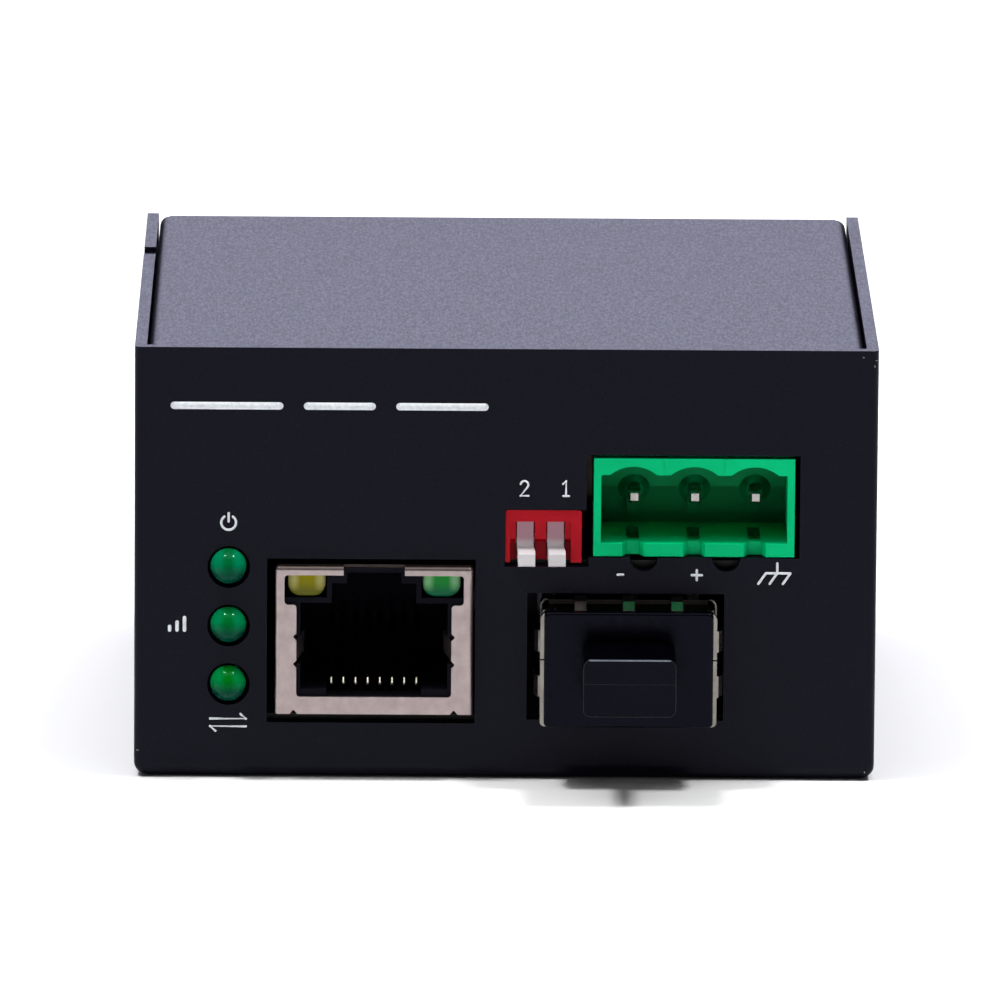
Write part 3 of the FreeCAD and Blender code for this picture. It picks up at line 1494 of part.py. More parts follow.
save("front_shell", front_shell())
save("lid", lid())
save("lid_screws", lid_screws())
save("rear_clinch_nuts", rear_clinch_nuts())
save("board_standoffs", board_standoffs())
save("main_board", main_board())
save("main_board_screw", main_board_screw())
save("board_spacers", board_spacers())
save("power_board", power_board())
save("power_board_screws", power_board_screws())
save("link_strip", link_strip())
save("link_pins", link_pins())
save("rj45_shield", rj45_shield())
save("rj45_housing", rj45_housing())
save("rj45_contacts", rj45_contacts())
save("rj45_lens_left", rj45_lens(-1))
save("rj45_lens_right", rj45_lens(1))
save("lamp_holder", lamp_holder())
for index, name in enumerate(("lamp_lower", "lamp_middle", "lamp_upper")):
    save(name, panel_lamp(index))
save("lamp_leads", lamp_leads())
save("terminal_housing", terminal_housing())
save("terminal_pins", terminal_pins())
save("dip_body", dip_body())
for index, name in enumerate(("dip_lever_left", "dip_lever_right")):
    save(name, dip_lever(lever_places()[index]))
save("dip_pins", dip_pins())
save("sfp_cage", sfp_cage())
save("sfp_spring_collar", sfp_spring_collar())
save("sfp_connector", sfp_connector())
save("dust_plug", dust_plug())
save("line_transformer", line_transformer())
save("transformer_leads", transformer_lead_rows())
save("converter_chip", converter_chip())
save("chip_leads", chip_lead_rows())
save("crystal", crystal())
save("power_inductor", power_inductor())
save("smoothing_capacitors", smoothing_capacitors())
save("input_capacitor", input_capacitor())
save("isolating_converter", isolating_converter())
save("input_choke", input_choke())
save("choke_winding", choke_winding())
save("input_fuse", disc_part(fuse_place(), fuse_thickness))
save("surge_suppressor", disc_part(suppressor_place(), suppressor_thickness))
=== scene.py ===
import json
import math
import bpy
import bmesh
from mathutils import Matrix, Vector


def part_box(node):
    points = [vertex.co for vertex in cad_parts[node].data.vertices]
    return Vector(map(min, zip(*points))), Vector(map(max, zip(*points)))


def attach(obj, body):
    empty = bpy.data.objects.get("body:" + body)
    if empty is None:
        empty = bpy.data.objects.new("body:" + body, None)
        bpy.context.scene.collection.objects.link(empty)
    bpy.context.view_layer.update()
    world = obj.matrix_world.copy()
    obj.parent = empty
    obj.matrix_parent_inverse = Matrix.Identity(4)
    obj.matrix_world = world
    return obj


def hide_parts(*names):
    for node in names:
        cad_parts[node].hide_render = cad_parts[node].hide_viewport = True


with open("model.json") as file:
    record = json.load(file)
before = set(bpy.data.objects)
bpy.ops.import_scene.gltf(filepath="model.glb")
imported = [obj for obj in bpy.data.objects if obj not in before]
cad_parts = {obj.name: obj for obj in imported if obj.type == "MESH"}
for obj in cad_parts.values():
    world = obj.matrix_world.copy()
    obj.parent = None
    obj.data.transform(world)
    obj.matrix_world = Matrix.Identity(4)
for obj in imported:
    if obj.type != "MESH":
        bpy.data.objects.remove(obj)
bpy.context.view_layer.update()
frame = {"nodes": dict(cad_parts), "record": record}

mm = 0.001
nodes = frame["nodes"]


def boxMm(name):
    # lowest and highest corner of a CAD node, in millimetres
    low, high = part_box(name)
    return Vector(low) / mm, Vector(high) / mm


shellLow, shellHigh = boxMm("front_shell")
panelY = shellLow.y
middleX = (shellLow.x + shellHigh.x) / 2
print("frame loaded:", len(nodes), "nodes")


def hexLinear(code, alpha=1.0):
    # an sRGB hex value such as "1C1C20" as linear colour
    channels = [int(code[i:i + 2], 16) / 255 for i in (0, 2, 4)]
    linear = [c / 12.92 if c <= 0.04045 else ((c + 0.055) / 1.055) ** 2.4 for c in channels]
    return (*linear, alpha)


def perSize(sizeMm):
    # noise scale whose grains are about this many millimetres across
    return 1000.0 / sizeMm


def addNode(tree, kind, settings=None, values=None, links=None):
    # one node with its settings, its sockets' values and what feeds its sockets
    node = tree.nodes.new(kind)
    for key, value in (settings or {}).items():
        setattr(node, key, value)
    for key, value in (values or {}).items():
        node.inputs[key].default_value = value
    for key, source in (links or {}).items():
        tree.links.new(source, node.inputs[key])
    return node


def newFinish(name):
    # an empty material: its tree, its shader and the place on the object that patterns read
    material = bpy.data.materials.new(name)
    material.use_nodes = True
    tree = material.node_tree
    tree.nodes.clear()
    shader = addNode(tree, "ShaderNodeBsdfPrincipled")
    addNode(tree, "ShaderNodeOutputMaterial", links={"Surface": shader.outputs["BSDF"]})
    place = addNode(tree, "ShaderNodeTexCoord").outputs["Object"]
    return material, tree, shader, place


# where most of a noise's values lie
noiseBand = {"From Min": 0.3, "From Max": 0.7}

# pull draws the grain out along the depth of the case
powderCoat = {"base": "0F0F19", "fleck": "191925", "fleckBand": (0.58, 0.78), "grainMm": 0.2,
              "grainDetail": 2.0, "pull": 0.24, "roughness": (0.28, 0.42), "specular": 0.08,
              "gloss": "F0F0FF", "bump": 0.25, "depthMm": 0.004}


def makePowderCoat(name, look):
    # baked polyester powder on steel: satin black, with the fine pebbled skin that melted grains leave
    material, tree, shader, place = newFinish(name)
    pulled = addNode(tree, "ShaderNodeMapping", values={"Scale": (1.0, look["pull"], 1.0)},
                     links={"Vector": place}).outputs["Vector"]
    grain = addNode(tree, "ShaderNodeTexNoise", values={"Scale": perSize(look["grainMm"]),
                    "Detail": look["grainDetail"]}, links={"Vector": pulled}).outputs["Fac"]
    flecks = addNode(tree, "ShaderNodeMapRange", values={"From Min": look["fleckBand"][0],
                     "From Max": look["fleckBand"][1]}, links={"Value": grain}).outputs["Result"]
    tone = addNode(tree, "ShaderNodeMix", {"data_type": "RGBA"},
                   {6: hexLinear(look["base"]), 7: hexLinear(look["fleck"])}, {0: flecks})
    tree.links.new(tone.outputs[2], shader.inputs["Base Color"])
    rough = addNode(tree, "ShaderNodeMapRange", values={**noiseBand, "To Min": look["roughness"][0],
                    "To Max": look["roughness"][1]}, links={"Value": grain})
    tree.links.new(rough.outputs["Result"], shader.inputs["Roughness"])
    shader.inputs["Specular IOR Level"].default_value = look["specular"]
    shader.inputs["Specular Tint"].default_value = hexLinear(look["gloss"])
    skin = addNode(tree, "ShaderNodeBump", values={"Strength": look["bump"],
                   "Distance": look["depthMm"] * mm}, links={"Height": grain})
    tree.links.new(skin.outputs["Normal"], shader.inputs["Normal"])
    return material


mouldedSkin = {"flowMm": 4.0, "flowBand": (0.35, 0.65), "upBand": (0.5, 0.9), "roughSpread": (-0.05, 0.06),
               "scatterMm": 0.5, "bump": 0.3}


def makeMoulded(name, base, shade, roughness, grainMm=0.5, depthMm=0.01, specular=0.5, soften=0.0,
                paintedShadeTone=None, along="Y", between=(0.0, 1.0), gloss="FFFFFF"):
    # injection-moulded plastic: even colour with slow flow marks and a light spark-eroded texture;
    # where a painted shade tone is given, the colour runs into it along one direction, between two places
    # in mm, on all but the faces that look up, which are left as lit: this is painted shade
    material, tree, shader, place = newFinish(name)
    flow = addNode(tree, "ShaderNodeTexNoise", values={"Scale": perSize(mouldedSkin["flowMm"])},
                   links={"Vector": place}).outputs["Fac"]
    grain = addNode(tree, "ShaderNodeTexNoise", values={"Scale": perSize(grainMm)},
                    links={"Vector": place}).outputs["Fac"]
    patches = addNode(tree, "ShaderNodeMapRange", values={"From Min": mouldedSkin["flowBand"][0],
                      "From Max": mouldedSkin["flowBand"][1]}, links={"Value": flow}).outputs["Result"]
    tone = addNode(tree, "ShaderNodeMix", {"data_type": "RGBA"},
                   {6: hexLinear(base), 7: hexLinear(shade)}, {0: patches})
    # painted shade: the given tone darkens the colour along one direction, except on faces that look up
    if paintedShadeTone:
        way = addNode(tree, "ShaderNodeSeparateXYZ", links={"Vector": place}).outputs[along]
        run = addNode(tree, "ShaderNodeMapRange", values={"From Min": between[0] * mm,
                      "From Max": between[1] * mm}, links={"Value": way})
        facing = addNode(tree, "ShaderNodeTexCoord").outputs["Normal"]
        upward = addNode(tree, "ShaderNodeSeparateXYZ", links={"Vector": facing}).outputs["Z"]
        spared = addNode(tree, "ShaderNodeMapRange", values={"From Min": mouldedSkin["upBand"][0],
                         "From Max": mouldedSkin["upBand"][1], "To Min": 1.0, "To Max": 0.0},
                         links={"Value": upward}).outputs["Result"]
        share = addNode(tree, "ShaderNodeMath", {"operation": "MULTIPLY"},
                        links={0: run.outputs["Result"], 1: spared})
        tone = addNode(tree, "ShaderNodeMix", {"data_type": "RGBA"}, {7: hexLinear(paintedShadeTone)},
                       {0: share.outputs["Value"], 6: tone.outputs[2]})
    tree.links.new(tone.outputs[2], shader.inputs["Base Color"])
    smoother, rougher = [roughness + step for step in mouldedSkin["roughSpread"]]
    rough = addNode(tree, "ShaderNodeMapRange", values={**noiseBand, "To Min": smoother,
                    "To Max": rougher}, links={"Value": grain})
    tree.links.new(rough.outputs["Result"], shader.inputs["Roughness"])
    shader.inputs["Specular IOR Level"].default_value = specular
    shader.inputs["Specular Tint"].default_value = hexLinear(gloss)
    shader.inputs["Subsurface Weight"].default_value = soften
    shader.inputs["Subsurface Radius"].default_value = [mouldedSkin["scatterMm"] * mm] * 3
    skin = addNode(tree, "ShaderNodeBump", values={"Strength": mouldedSkin["bump"],
                   "Distance": depthMm * mm}, links={"Height": grain})
    tree.links.new(skin.outputs["Normal"], shader.inputs["Normal"])
    return material


platedSkin = {"spotDetail": 4.0, "spotRough": 0.6, "spotBand": (0.35, 0.7), "rollMm": 0.15, "bump": 0.3}


def makePlated(name, base, shade, roughness, spread=0.16, spotMm=0.6, depthMm=0.004,
               paintedDarkTone=None, between=(0.0, 1.0)):
    # plated sheet or wire: soft mottling where the bath built up unevenly, and fine rolling marks;
    # where a painted shade tone is given, the colour runs into it between two heights in mm as painted
    # shade
    material, tree, shader, place = newFinish(name)
    spots = addNode(tree, "ShaderNodeTexNoise", values={"Scale": perSize(spotMm),
                    "Detail": platedSkin["spotDetail"], "Roughness": platedSkin["spotRough"]},
                    links={"Vector": place}).outputs["Fac"]
    grain = addNode(tree, "ShaderNodeTexNoise", values={"Scale": perSize(platedSkin["rollMm"])},
                    links={"Vector": place}).outputs["Fac"]
    patches = addNode(tree, "ShaderNodeMapRange", values={"From Min": platedSkin["spotBand"][0],
                      "From Max": platedSkin["spotBand"][1]}, links={"Value": spots}).outputs["Result"]
    tone = addNode(tree, "ShaderNodeMix", {"data_type": "RGBA"},
                   {6: hexLinear(base), 7: hexLinear(shade)}, {0: patches})
    # painted shade: the given dark tone takes over between the two heights
    if paintedDarkTone:
        height = addNode(tree, "ShaderNodeSeparateXYZ", links={"Vector": place}).outputs["Z"]
        run = addNode(tree, "ShaderNodeMapRange", values={"From Min": between[0] * mm,
                      "From Max": between[1] * mm}, links={"Value": height})
        tone = addNode(tree, "ShaderNodeMix", {"data_type": "RGBA"}, {7: hexLinear(paintedDarkTone)},
                       {0: run.outputs["Result"], 6: tone.outputs[2]})
    tree.links.new(tone.outputs[2], shader.inputs["Base Color"])
    shader.inputs["Metallic"].default_value = 1.0
    rough = addNode(tree, "ShaderNodeMapRange", values={**noiseBand, "To Min": roughness - spread / 2,
                    "To Max": roughness + spread / 2}, links={"Value": spots})
    tree.links.new(rough.outputs["Result"], shader.inputs["Roughness"])
    skin = addNode(tree, "ShaderNodeBump", values={"Strength": platedSkin["bump"],
                   "Distance": depthMm * mm}, links={"Height": grain})
    tree.links.new(skin.outputs["Normal"], shader.inputs["Normal"])
    return material


lampLow, lampHigh = boxMm("lamp_lower")
lampX, lampZ = (lampLow.x + lampHigh.x) / 2, (lampLow.z + lampHigh.z) / 2
lampPitch = boxMm("lamp_middle")[0].z - lampLow.z
# lowMm is above the lowest lamp's middle, lobeMm is off the lamps' middle, edge is a share of the pitch
# lobe and lowLobe are painted highlights at the lamps' sides, belly is painted shade below their middle
greenLamp = {"crown": "006030", "lowCrown": "006B17", "lobe": "007A50", "lowLobe": "00803E",
             "belly": "003A2B", "gloss": "80F0C8", "lobeMm": (0.25, 0.7), "edge": (0.38, 0.58),
             "lowMm": (1.5, 8.5), "roughness": 0.08, "specular": 0.14, "soften": 0.25,
             "scatterMm": (0.1, 0.5, 0.3)}


def makeLampEpoxy(name, look):
    # cast tinted epoxy dome: glossy, green at its crown, with painted shade below its middle and a brighter
    # lobe each side that is a painted highlight; the lowest of the three is a warmer green
    material, tree, shader, place = newFinish(name)
    parts = addNode(tree, "ShaderNodeSeparateXYZ", links={"Vector": place})
    height = parts.outputs["Z"]
    # counts the lamps from below, each from half a pitch under its middle
    steps = addNode(tree, "ShaderNodeMath", {"operation": "MULTIPLY_ADD"},
                    {1: 1.0 / (lampPitch * mm), 2: 0.5 - lampZ / lampPitch}, {0: height})
    within = addNode(tree, "ShaderNodeMath", {"operation": "FRACT"}, links={0: steps.outputs["Value"]})
    rise = addNode(tree, "ShaderNodeMapRange", values={"From Min": look["edge"][0],
                   "From Max": look["edge"][1]}, links={"Value": within.outputs["Value"]})
    which = addNode(tree, "ShaderNodeMapRange", values={"From Min": (lampZ + look["lowMm"][0]) * mm,
                    "From Max": (lampZ + look["lowMm"][1]) * mm}, links={"Value": height})
    crown = addNode(tree, "ShaderNodeMix", {"data_type": "RGBA"},
                    {6: hexLinear(look["lowCrown"]), 7: hexLinear(look["crown"])},
                    {0: which.outputs["Result"]})
    across = addNode(tree, "ShaderNodeMath", {"operation": "SUBTRACT"}, {1: lampX * mm},
                     {0: parts.outputs["X"]})
    aside = addNode(tree, "ShaderNodeMath", {"operation": "ABSOLUTE"}, links={0: across.outputs["Value"]})
    # painted highlight: brighter lobes either side of each lamp's middle
    lobe = addNode(tree, "ShaderNodeMapRange", values={"From Min": look["lobeMm"][0] * mm,
                   "From Max": look["lobeMm"][1] * mm}, links={"Value": aside.outputs["Value"]})
    flank = addNode(tree, "ShaderNodeMix", {"data_type": "RGBA"},
                    {6: hexLinear(look["lowLobe"]), 7: hexLinear(look["lobe"])},
                    {0: which.outputs["Result"]})
    lit = addNode(tree, "ShaderNodeMix", {"data_type": "RGBA"},
                  links={0: lobe.outputs["Result"], 6: crown.outputs[2], 7: flank.outputs[2]})
    # painted shade: below each lamp's middle the colour turns to the belly tone
    tone = addNode(tree, "ShaderNodeMix", {"data_type": "RGBA"}, {6: hexLinear(look["belly"])},
                   {0: rise.outputs["Result"], 7: lit.outputs[2]})
    tree.links.new(tone.outputs[2], shader.inputs["Base Color"])
    shader.inputs["Roughness"].default_value = look["roughness"]
    shader.inputs["Specular IOR Level"].default_value = look["specular"]
    shader.inputs["Specular Tint"].default_value = hexLinear(look["gloss"])
    shader.inputs["Subsurface Weight"].default_value = look["soften"]
    shader.inputs["Subsurface Radius"].default_value = [reach * mm for reach in look["scatterMm"]]
    return material


lensLow, lensHigh = boxMm("rj45_lens_left")
jackX = (lensLow.x + boxMm("rj45_lens_right")[1].x) / 2
lensOff = jackX - (lensLow.x + lensHigh.x) / 2
# lobeMm is off a lens's middle, footMm is above its lower edge
# the lobes are painted highlights, and the colour darkens towards the foot as painted shade
barLens = {"lobeMm": (0.55, 1.0), "footMm": (0.46, 1.36), "roughness": 0.14, "specular": 0.08,
           "soften": 0.2, "scatterMm": (0.3, 0.6, 0.3)}


def makeBarLens(name, upper, lower, pale, look):
    # clear tinted bar that carries a lamp's light to the jack's face: glossy, darker towards its foot as
    # painted shade, with a pale lobe at each side as a painted highlight
    material, tree, shader, place = newFinish(name)
    parts = addNode(tree, "ShaderNodeSeparateXYZ", links={"Vector": place})
    # painted shade: the colour darkens towards the lens's foot
    rise = addNode(tree, "ShaderNodeMapRange", values={"From Min": (lensLow.z + look["footMm"][0]) * mm,
                   "From Max": (lensLow.z + look["footMm"][1]) * mm}, links={"Value": parts.outputs["Z"]})
    tone = addNode(tree, "ShaderNodeMix", {"data_type": "RGBA"},
                   {6: hexLinear(lower), 7: hexLinear(upper)}, {0: rise.outputs["Result"]})
    across = addNode(tree, "ShaderNodeMath", {"operation": "SUBTRACT"}, {1: jackX * mm},
                     {0: parts.outputs["X"]})
    either = addNode(tree, "ShaderNodeMath", {"operation": "ABSOLUTE"}, links={0: across.outputs["Value"]})
    own = addNode(tree, "ShaderNodeMath", {"operation": "SUBTRACT"}, {1: lensOff * mm},
                  {0: either.outputs["Value"]})
    aside = addNode(tree, "ShaderNodeMath", {"operation": "ABSOLUTE"}, links={0: own.outputs["Value"]})
    # painted highlight: a pale lobe at each side of each lens
    lobe = addNode(tree, "ShaderNodeMapRange", values={"From Min": look["lobeMm"][0] * mm,
                   "From Max": look["lobeMm"][1] * mm}, links={"Value": aside.outputs["Value"]})
    lit = addNode(tree, "ShaderNodeMath", {"operation": "MULTIPLY"},
                  links={0: lobe.outputs["Result"], 1: rise.outputs["Result"]})
    glow = addNode(tree, "ShaderNodeMix", {"data_type": "RGBA"}, {7: hexLinear(pale)},
                   {0: lit.outputs["Value"], 6: tone.outputs[2]})
    tree.links.new(glow.outputs[2], shader.inputs["Base Color"])
    shader.inputs["Roughness"].default_value = look["roughness"]
    shader.inputs["Specular IOR Level"].default_value = look["specular"]
    shader.inputs["Subsurface Weight"].default_value = look["soften"]
    shader.inputs["Subsurface Radius"].default_value = [reach * mm for reach in look["scatterMm"]]
    return material


solderMask = {"mask": "0C4A2A", "overCopper": "0A3A22", "edge": "14160E", "copperMm": 3.2,
              "copperBand": (0.38, 0.42), "weaveMm": 0.4, "weaveShare": 0.2, "roughness": 0.4,
              "specular": 0.25, "bump": 0.4, "depthMm": 0.02}


def makeSolderMask(name, look):
    # glass-epoxy board: green mask over copper areas that sit a little proud, and bare olive resin at
    # its cut edge
    material, tree, shader, place = newFinish(name)
    copper = addNode(tree, "ShaderNodeTexVoronoi", {"distance": "MANHATTAN"},
                     {"Scale": perSize(look["copperMm"])}, {"Vector": place}).outputs["Distance"]
    pour = addNode(tree, "ShaderNodeMapRange", values={"From Min": look["copperBand"][0],
                   "From Max": look["copperBand"][1]}, links={"Value": copper}).outputs["Result"]
    weave = addNode(tree, "ShaderNodeTexNoise", values={"Scale": perSize(look["weaveMm"])},
                    links={"Vector": place})
    mask = addNode(tree, "ShaderNodeMix", {"data_type": "RGBA"},
                   {6: hexLinear(look["mask"]), 7: hexLinear(look["overCopper"])}, {0: pour})
    facing = addNode(tree, "ShaderNodeTexCoord").outputs["Normal"]
    upright = addNode(tree, "ShaderNodeSeparateXYZ", links={"Vector": facing}).outputs["Z"]
    flat = addNode(tree, "ShaderNodeMath", {"operation": "ABSOLUTE"}, links={0: upright})
    tone = addNode(tree, "ShaderNodeMix", {"data_type": "RGBA"}, {6: hexLinear(look["edge"])},
                   {0: flat.outputs["Value"], 7: mask.outputs[2]})
    tree.links.new(tone.outputs[2], shader.inputs["Base Color"])
    shader.inputs["Roughness"].default_value = look["roughness"]
    shader.inputs["Specular IOR Level"].default_value = look["specular"]
    height = addNode(tree, "ShaderNodeMath", {"operation": "MULTIPLY_ADD"}, {1: look["weaveShare"]},
                     {0: weave.outputs["Fac"], 2: pour})
    skin = addNode(tree, "ShaderNodeBump", values={"Strength": look["bump"],
                   "Distance": look["depthMm"] * mm}, links={"Height": height.outputs["Value"]})
    tree.links.new(skin.outputs["Normal"], shader.inputs["Normal"])
    return material


ink = {"base": "E6EAEE", "thin": "CED2D8", "thinBand": (0.35, 0.75), "patchMm": 0.35, "patchDetail": 3.0,
       "roughness": 0.6, "bump": 0.4, "depthMm": 0.006}


def makeInk(name, look):
    # screen-printed ink: matt, with the slight unevenness of the mesh it was pulled through
    material, tree, shader, place = newFinish(name)
    patch = addNode(tree, "ShaderNodeTexNoise", values={"Scale": perSize(look["patchMm"]),
                    "Detail": look["patchDetail"]}, links={"Vector": place}).outputs["Fac"]
    thin = addNode(tree, "ShaderNodeMapRange", values={"From Min": look["thinBand"][0],
                   "From Max": look["thinBand"][1]}, links={"Value": patch}).outputs["Result"]
    tone = addNode(tree, "ShaderNodeMix", {"data_type": "RGBA"},
                   {6: hexLinear(look["base"]), 7: hexLinear(look["thin"])}, {0: thin})
    tree.links.new(tone.outputs[2], shader.inputs["Base Color"])
    shader.inputs["Roughness"].default_value = look["roughness"]
    skin = addNode(tree, "ShaderNodeBump", values={"Strength": look["bump"],
                   "Distance": look["depthMm"] * mm}, links={"Height": patch})
    tree.links.new(skin.outputs["Normal"], shader.inputs["Normal"])
    return material


shieldTop = boxMm("rj45_shield")[1].z
contactFoot = boxMm("rj45_contacts")[0].z
jackFront = boxMm("rj45_housing")[0].y
headerLow = boxMm("terminal_housing")[0]
leverTop = boxMm("dip_lever_left")[1].z

# both tones, then for plastic its roughness, grain in mm, depth of the grain in mm, gloss and softness,
# and for metal its roughness, the spread of that, spots in mm and depth of the rolling marks in mm
finishes = {
    "powderCoatBlack": makePowderCoat("powderCoatBlack", powderCoat),
    # screws blackened in hot salts: even soft black, a little oily
    "blackOxideSteel": makeMoulded("blackOxideSteel", "101014", "16161B", 0.38, 0.3, 0.008, 0.15),
    # inserts, standoffs and spacers: cool pale grey
    "zincPlatedSteel": makePlated("zincPlatedSteel", "B9BCC0", "A5A29A", 0.3),
    # the jack's shield: warm satin sheet, darkened over the edge of its top fold as painted shade
    "nickelPlatedSheet": makePlated("nickelPlatedSheet", "A89A99", "9E908F", 0.38, 0.1, 0.9, 0.002,
                                    "4A423E", (shieldTop - 0.35, shieldTop - 0.1)),
    # cage and spring collar: bright smooth sheet, grey where little light reaches it
    "tinPlatedCage": makePlated("tinPlatedCage", "7E7974", "706B66", 0.14, 0.06, 0.9, 0.001),
    # drawn pins and leads: soft silver with a slight mottle
    "tinPlatedPin": makePlated("tinPlatedPin", "A3A19E", "918E89", 0.24),
    # contacts with a thin pale flash of gold at their raised ends, and painted shadow making them dark at
    # their roots
    "goldFlash": makePlated("goldFlash", "DCD6C8", "D2C9B6", 0.16, 0.1, 0.6, 0.002,
                            "1A1815", (contactFoot + 5.35, contactFoot + 5.15)),
    # glass-filled nylon of the jack and the lamp stack: satin at the face, with painted shade turning it
    # near black deeper inside
    "housingBlack": makeMoulded("housingBlack", "0F0F14", "131318", 0.4, 0.35, 0.004, 0.03, 0.0,
                                "010102", "Y", (jackFront + 0.17, jackFront + 0.72), "CCD0FF"),
    # polycarbonate lenses: olive yellow and bottle green, paler at their sides as painted highlights and
    # darker at their foot as painted shade
    "yellowLens": makeBarLens("yellowLens", "847C00", "5C5C1C", "A49E60", barLens),
    "greenLens": makeBarLens("greenLens", "188430", "105A3C", "74A878", barLens),
    "greenLamp": makeLampEpoxy("greenLamp", greenLamp),
    # nylon header: clear green, a little light passes into it, with painted shade making it deeper green
    # inside its cells
    "greenHeader": makeMoulded("greenHeader", "00C880", "00BE78", 0.45, 0.4, 0.004, 0.05, 0.05,
                               "007A44", "Y", (headerLow.y + 2.0, headerLow.y + 8.0)),
    # thermoplastic polyester of the switch: flat signal red
    "redSwitch": makeMoulded("redSwitch", "BE1222", "B21020", 0.4, 0.4, 0.004, 0.08, 0.05),
    # its levers: off-white, with painted shade and painted red reflection making them darker and rosy where
    # they stand between the red walls
    "whiteLever": makeMoulded("whiteLever", "CCC8CA", "C4C0C2", 0.42, 0.4, 0.006, 0.3, 0.05,
                              "AC828E", "Z", (leverTop - 2.6, leverTop - 2.0)),
    # soft polyethylene plug: deep black with a smooth bluish gloss
    "softPlugBlack": makeMoulded("softPlugBlack", "010103", "020205", 0.2, 0.6, 0.003, 0.1,
                                 gloss="D0D4FF"),
    # the same plastic drawn as thin lines: a thread of grey where mould halves met and round the handle's
    # rim, and a lighter grey strip that is a painted highlight on the handle's top edge
    "plugEdge": makeMoulded("plugEdge", "14161E", "0A0B10", 0.25, 0.8, 0.002, 0.16),
    "plugTopHighlight": makeMoulded("plugTopHighlight", "787C88", "5C606C", 0.25, 0.5, 0.004, 0.3),
    "solderMaskGreen": makeSolderMask("solderMaskGreen", solderMask),
    # moulded epoxy of chips and transformers: matt, sooty grey
    "packageBlack": makeMoulded("packageBlack", "1C1C1C", "232323", 0.55, 0.2, 0.015),
    # the crystal's drawn can: brighter silver
    "canSteel": makePlated("canSteel", "CFCFCF", "BDBDBD", 0.3),
    # pressed ferrite: dry, dusty grey
    "ferriteGrey": makeMoulded("ferriteGrey", "2C2C2E", "353537", 0.7, 0.25, 0.02),
    # vinyl sleeve of the capacitors: smooth night blue
    "shrinkSleeve": makeMoulded("shrinkSleeve", "14182C", "1A1F36", 0.28, 0.8, 0.008),
    # enamelled copper wire: orange-brown and glossy
    "enamelledCopper": makePlated("enamelledCopper", "B0582C", "96461F", 0.3),
    # dipped resin of the two discs: thick and slightly wavy
    "dippedYellow": makeMoulded("dippedYellow", "C08E1E", "B28016", 0.35, 0.5, 0.02),
    "dippedBlue": makeMoulded("dippedBlue", "1C4A86", "183F74", 0.35, 0.5, 0.02),
    "whiteInk": makeInk("whiteInk", ink),
    # steel where the coat has chipped off: tiny dull grey sparks
    "bareSteel": makePlated("bareSteel", "7E7C78", "6A6864", 0.4),
}

slotFinish = {
    "powder_black": "powderCoatBlack", "screw_black": "blackOxideSteel", "zinc_steel": "zincPlatedSteel",
    "nickel_sheet": "nickelPlatedSheet", "cage_sheet": "tinPlatedCage", "jack_black": "housingBlack",
    "gold_contact": "goldFlash", "lens_yellow": "yellowLens", "lens_green": "greenLens",
    "lamp_green": "greenLamp", "holder_black": "housingBlack", "tin_lead": "tinPlatedPin",
    "header_green": "greenHeader", "switch_red": "redSwitch", "lever_white": "whiteLever",
    "plug_black": "softPlugBlack", "board_green": "solderMaskGreen", "package_black": "packageBlack",
    "can_steel": "canSteel", "ferrite_grey": "ferriteGrey", "sleeve_dark": "shrinkSleeve",
    "winding_copper": "enamelledCopper", "disc_yellow": "dippedYellow", "disc_blue": "dippedBlue",
}
for part in frame["record"]["subparts"]:
    for slot in nodes[part["node"]].material_slots:
        slot.material = finishes[slotFinish[part["material_slot"]]]
print("finishes made:", len(finishes))


def newTree(name, inputs):
    # a Geometry Nodes tree whose named inputs are sizes in metres, with the ends of its chain
    tree = bpy.data.node_groups.new(name, "GeometryNodeTree")
    tree.interface.new_socket("Geometry", in_out="INPUT", socket_type="NodeSocketGeometry")
    for label, kind in inputs:
        tree.interface.new_socket(label, in_out="INPUT", socket_type=kind)
    tree.interface.new_socket("Geometry", in_out="OUTPUT", socket_type="NodeSocketGeometry")
    return tree, addNode(tree, "NodeGroupInput")


def endTree(tree, source, finish):
    # the chain's last nodes: real geometry with its finish on it
    real = addNode(tree, "GeometryNodeRealizeInstances", links={"Geometry": source})
    dressed = addNode(tree, "GeometryNodeSetMaterial", values={"Material": finishes[finish]},
                      links={"Geometry": real.outputs["Geometry"]})
    addNode(tree, "NodeGroupOutput", links={"Geometry": dressed.outputs["Geometry"]})


def growPiece(name, base, tree, sizes):
    # runs a tree on a curve or mesh and keeps the outcome as a plain mesh piece
    bpy.context.scene.collection.objects.link(base)
    grower = base.modifiers.new("grow", "NODES")
    grower.node_group = tree
    for socket in tree.interface.items_tree:
        if socket.in_out == "INPUT" and socket.name in sizes:
            grower[socket.identifier] = sizes[socket.name]
    bpy.context.view_layer.update()
    ready = base.evaluated_get(bpy.context.evaluated_depsgraph_get())
    mesh = bpy.data.meshes.new_from_object(ready)
    base.modifiers.clear()
    bpy.data.objects.remove(base)
    mesh.name = name
    piece = bpy.data.objects.new(name, mesh)
    bpy.context.scene.collection.objects.link(piece)
    return piece


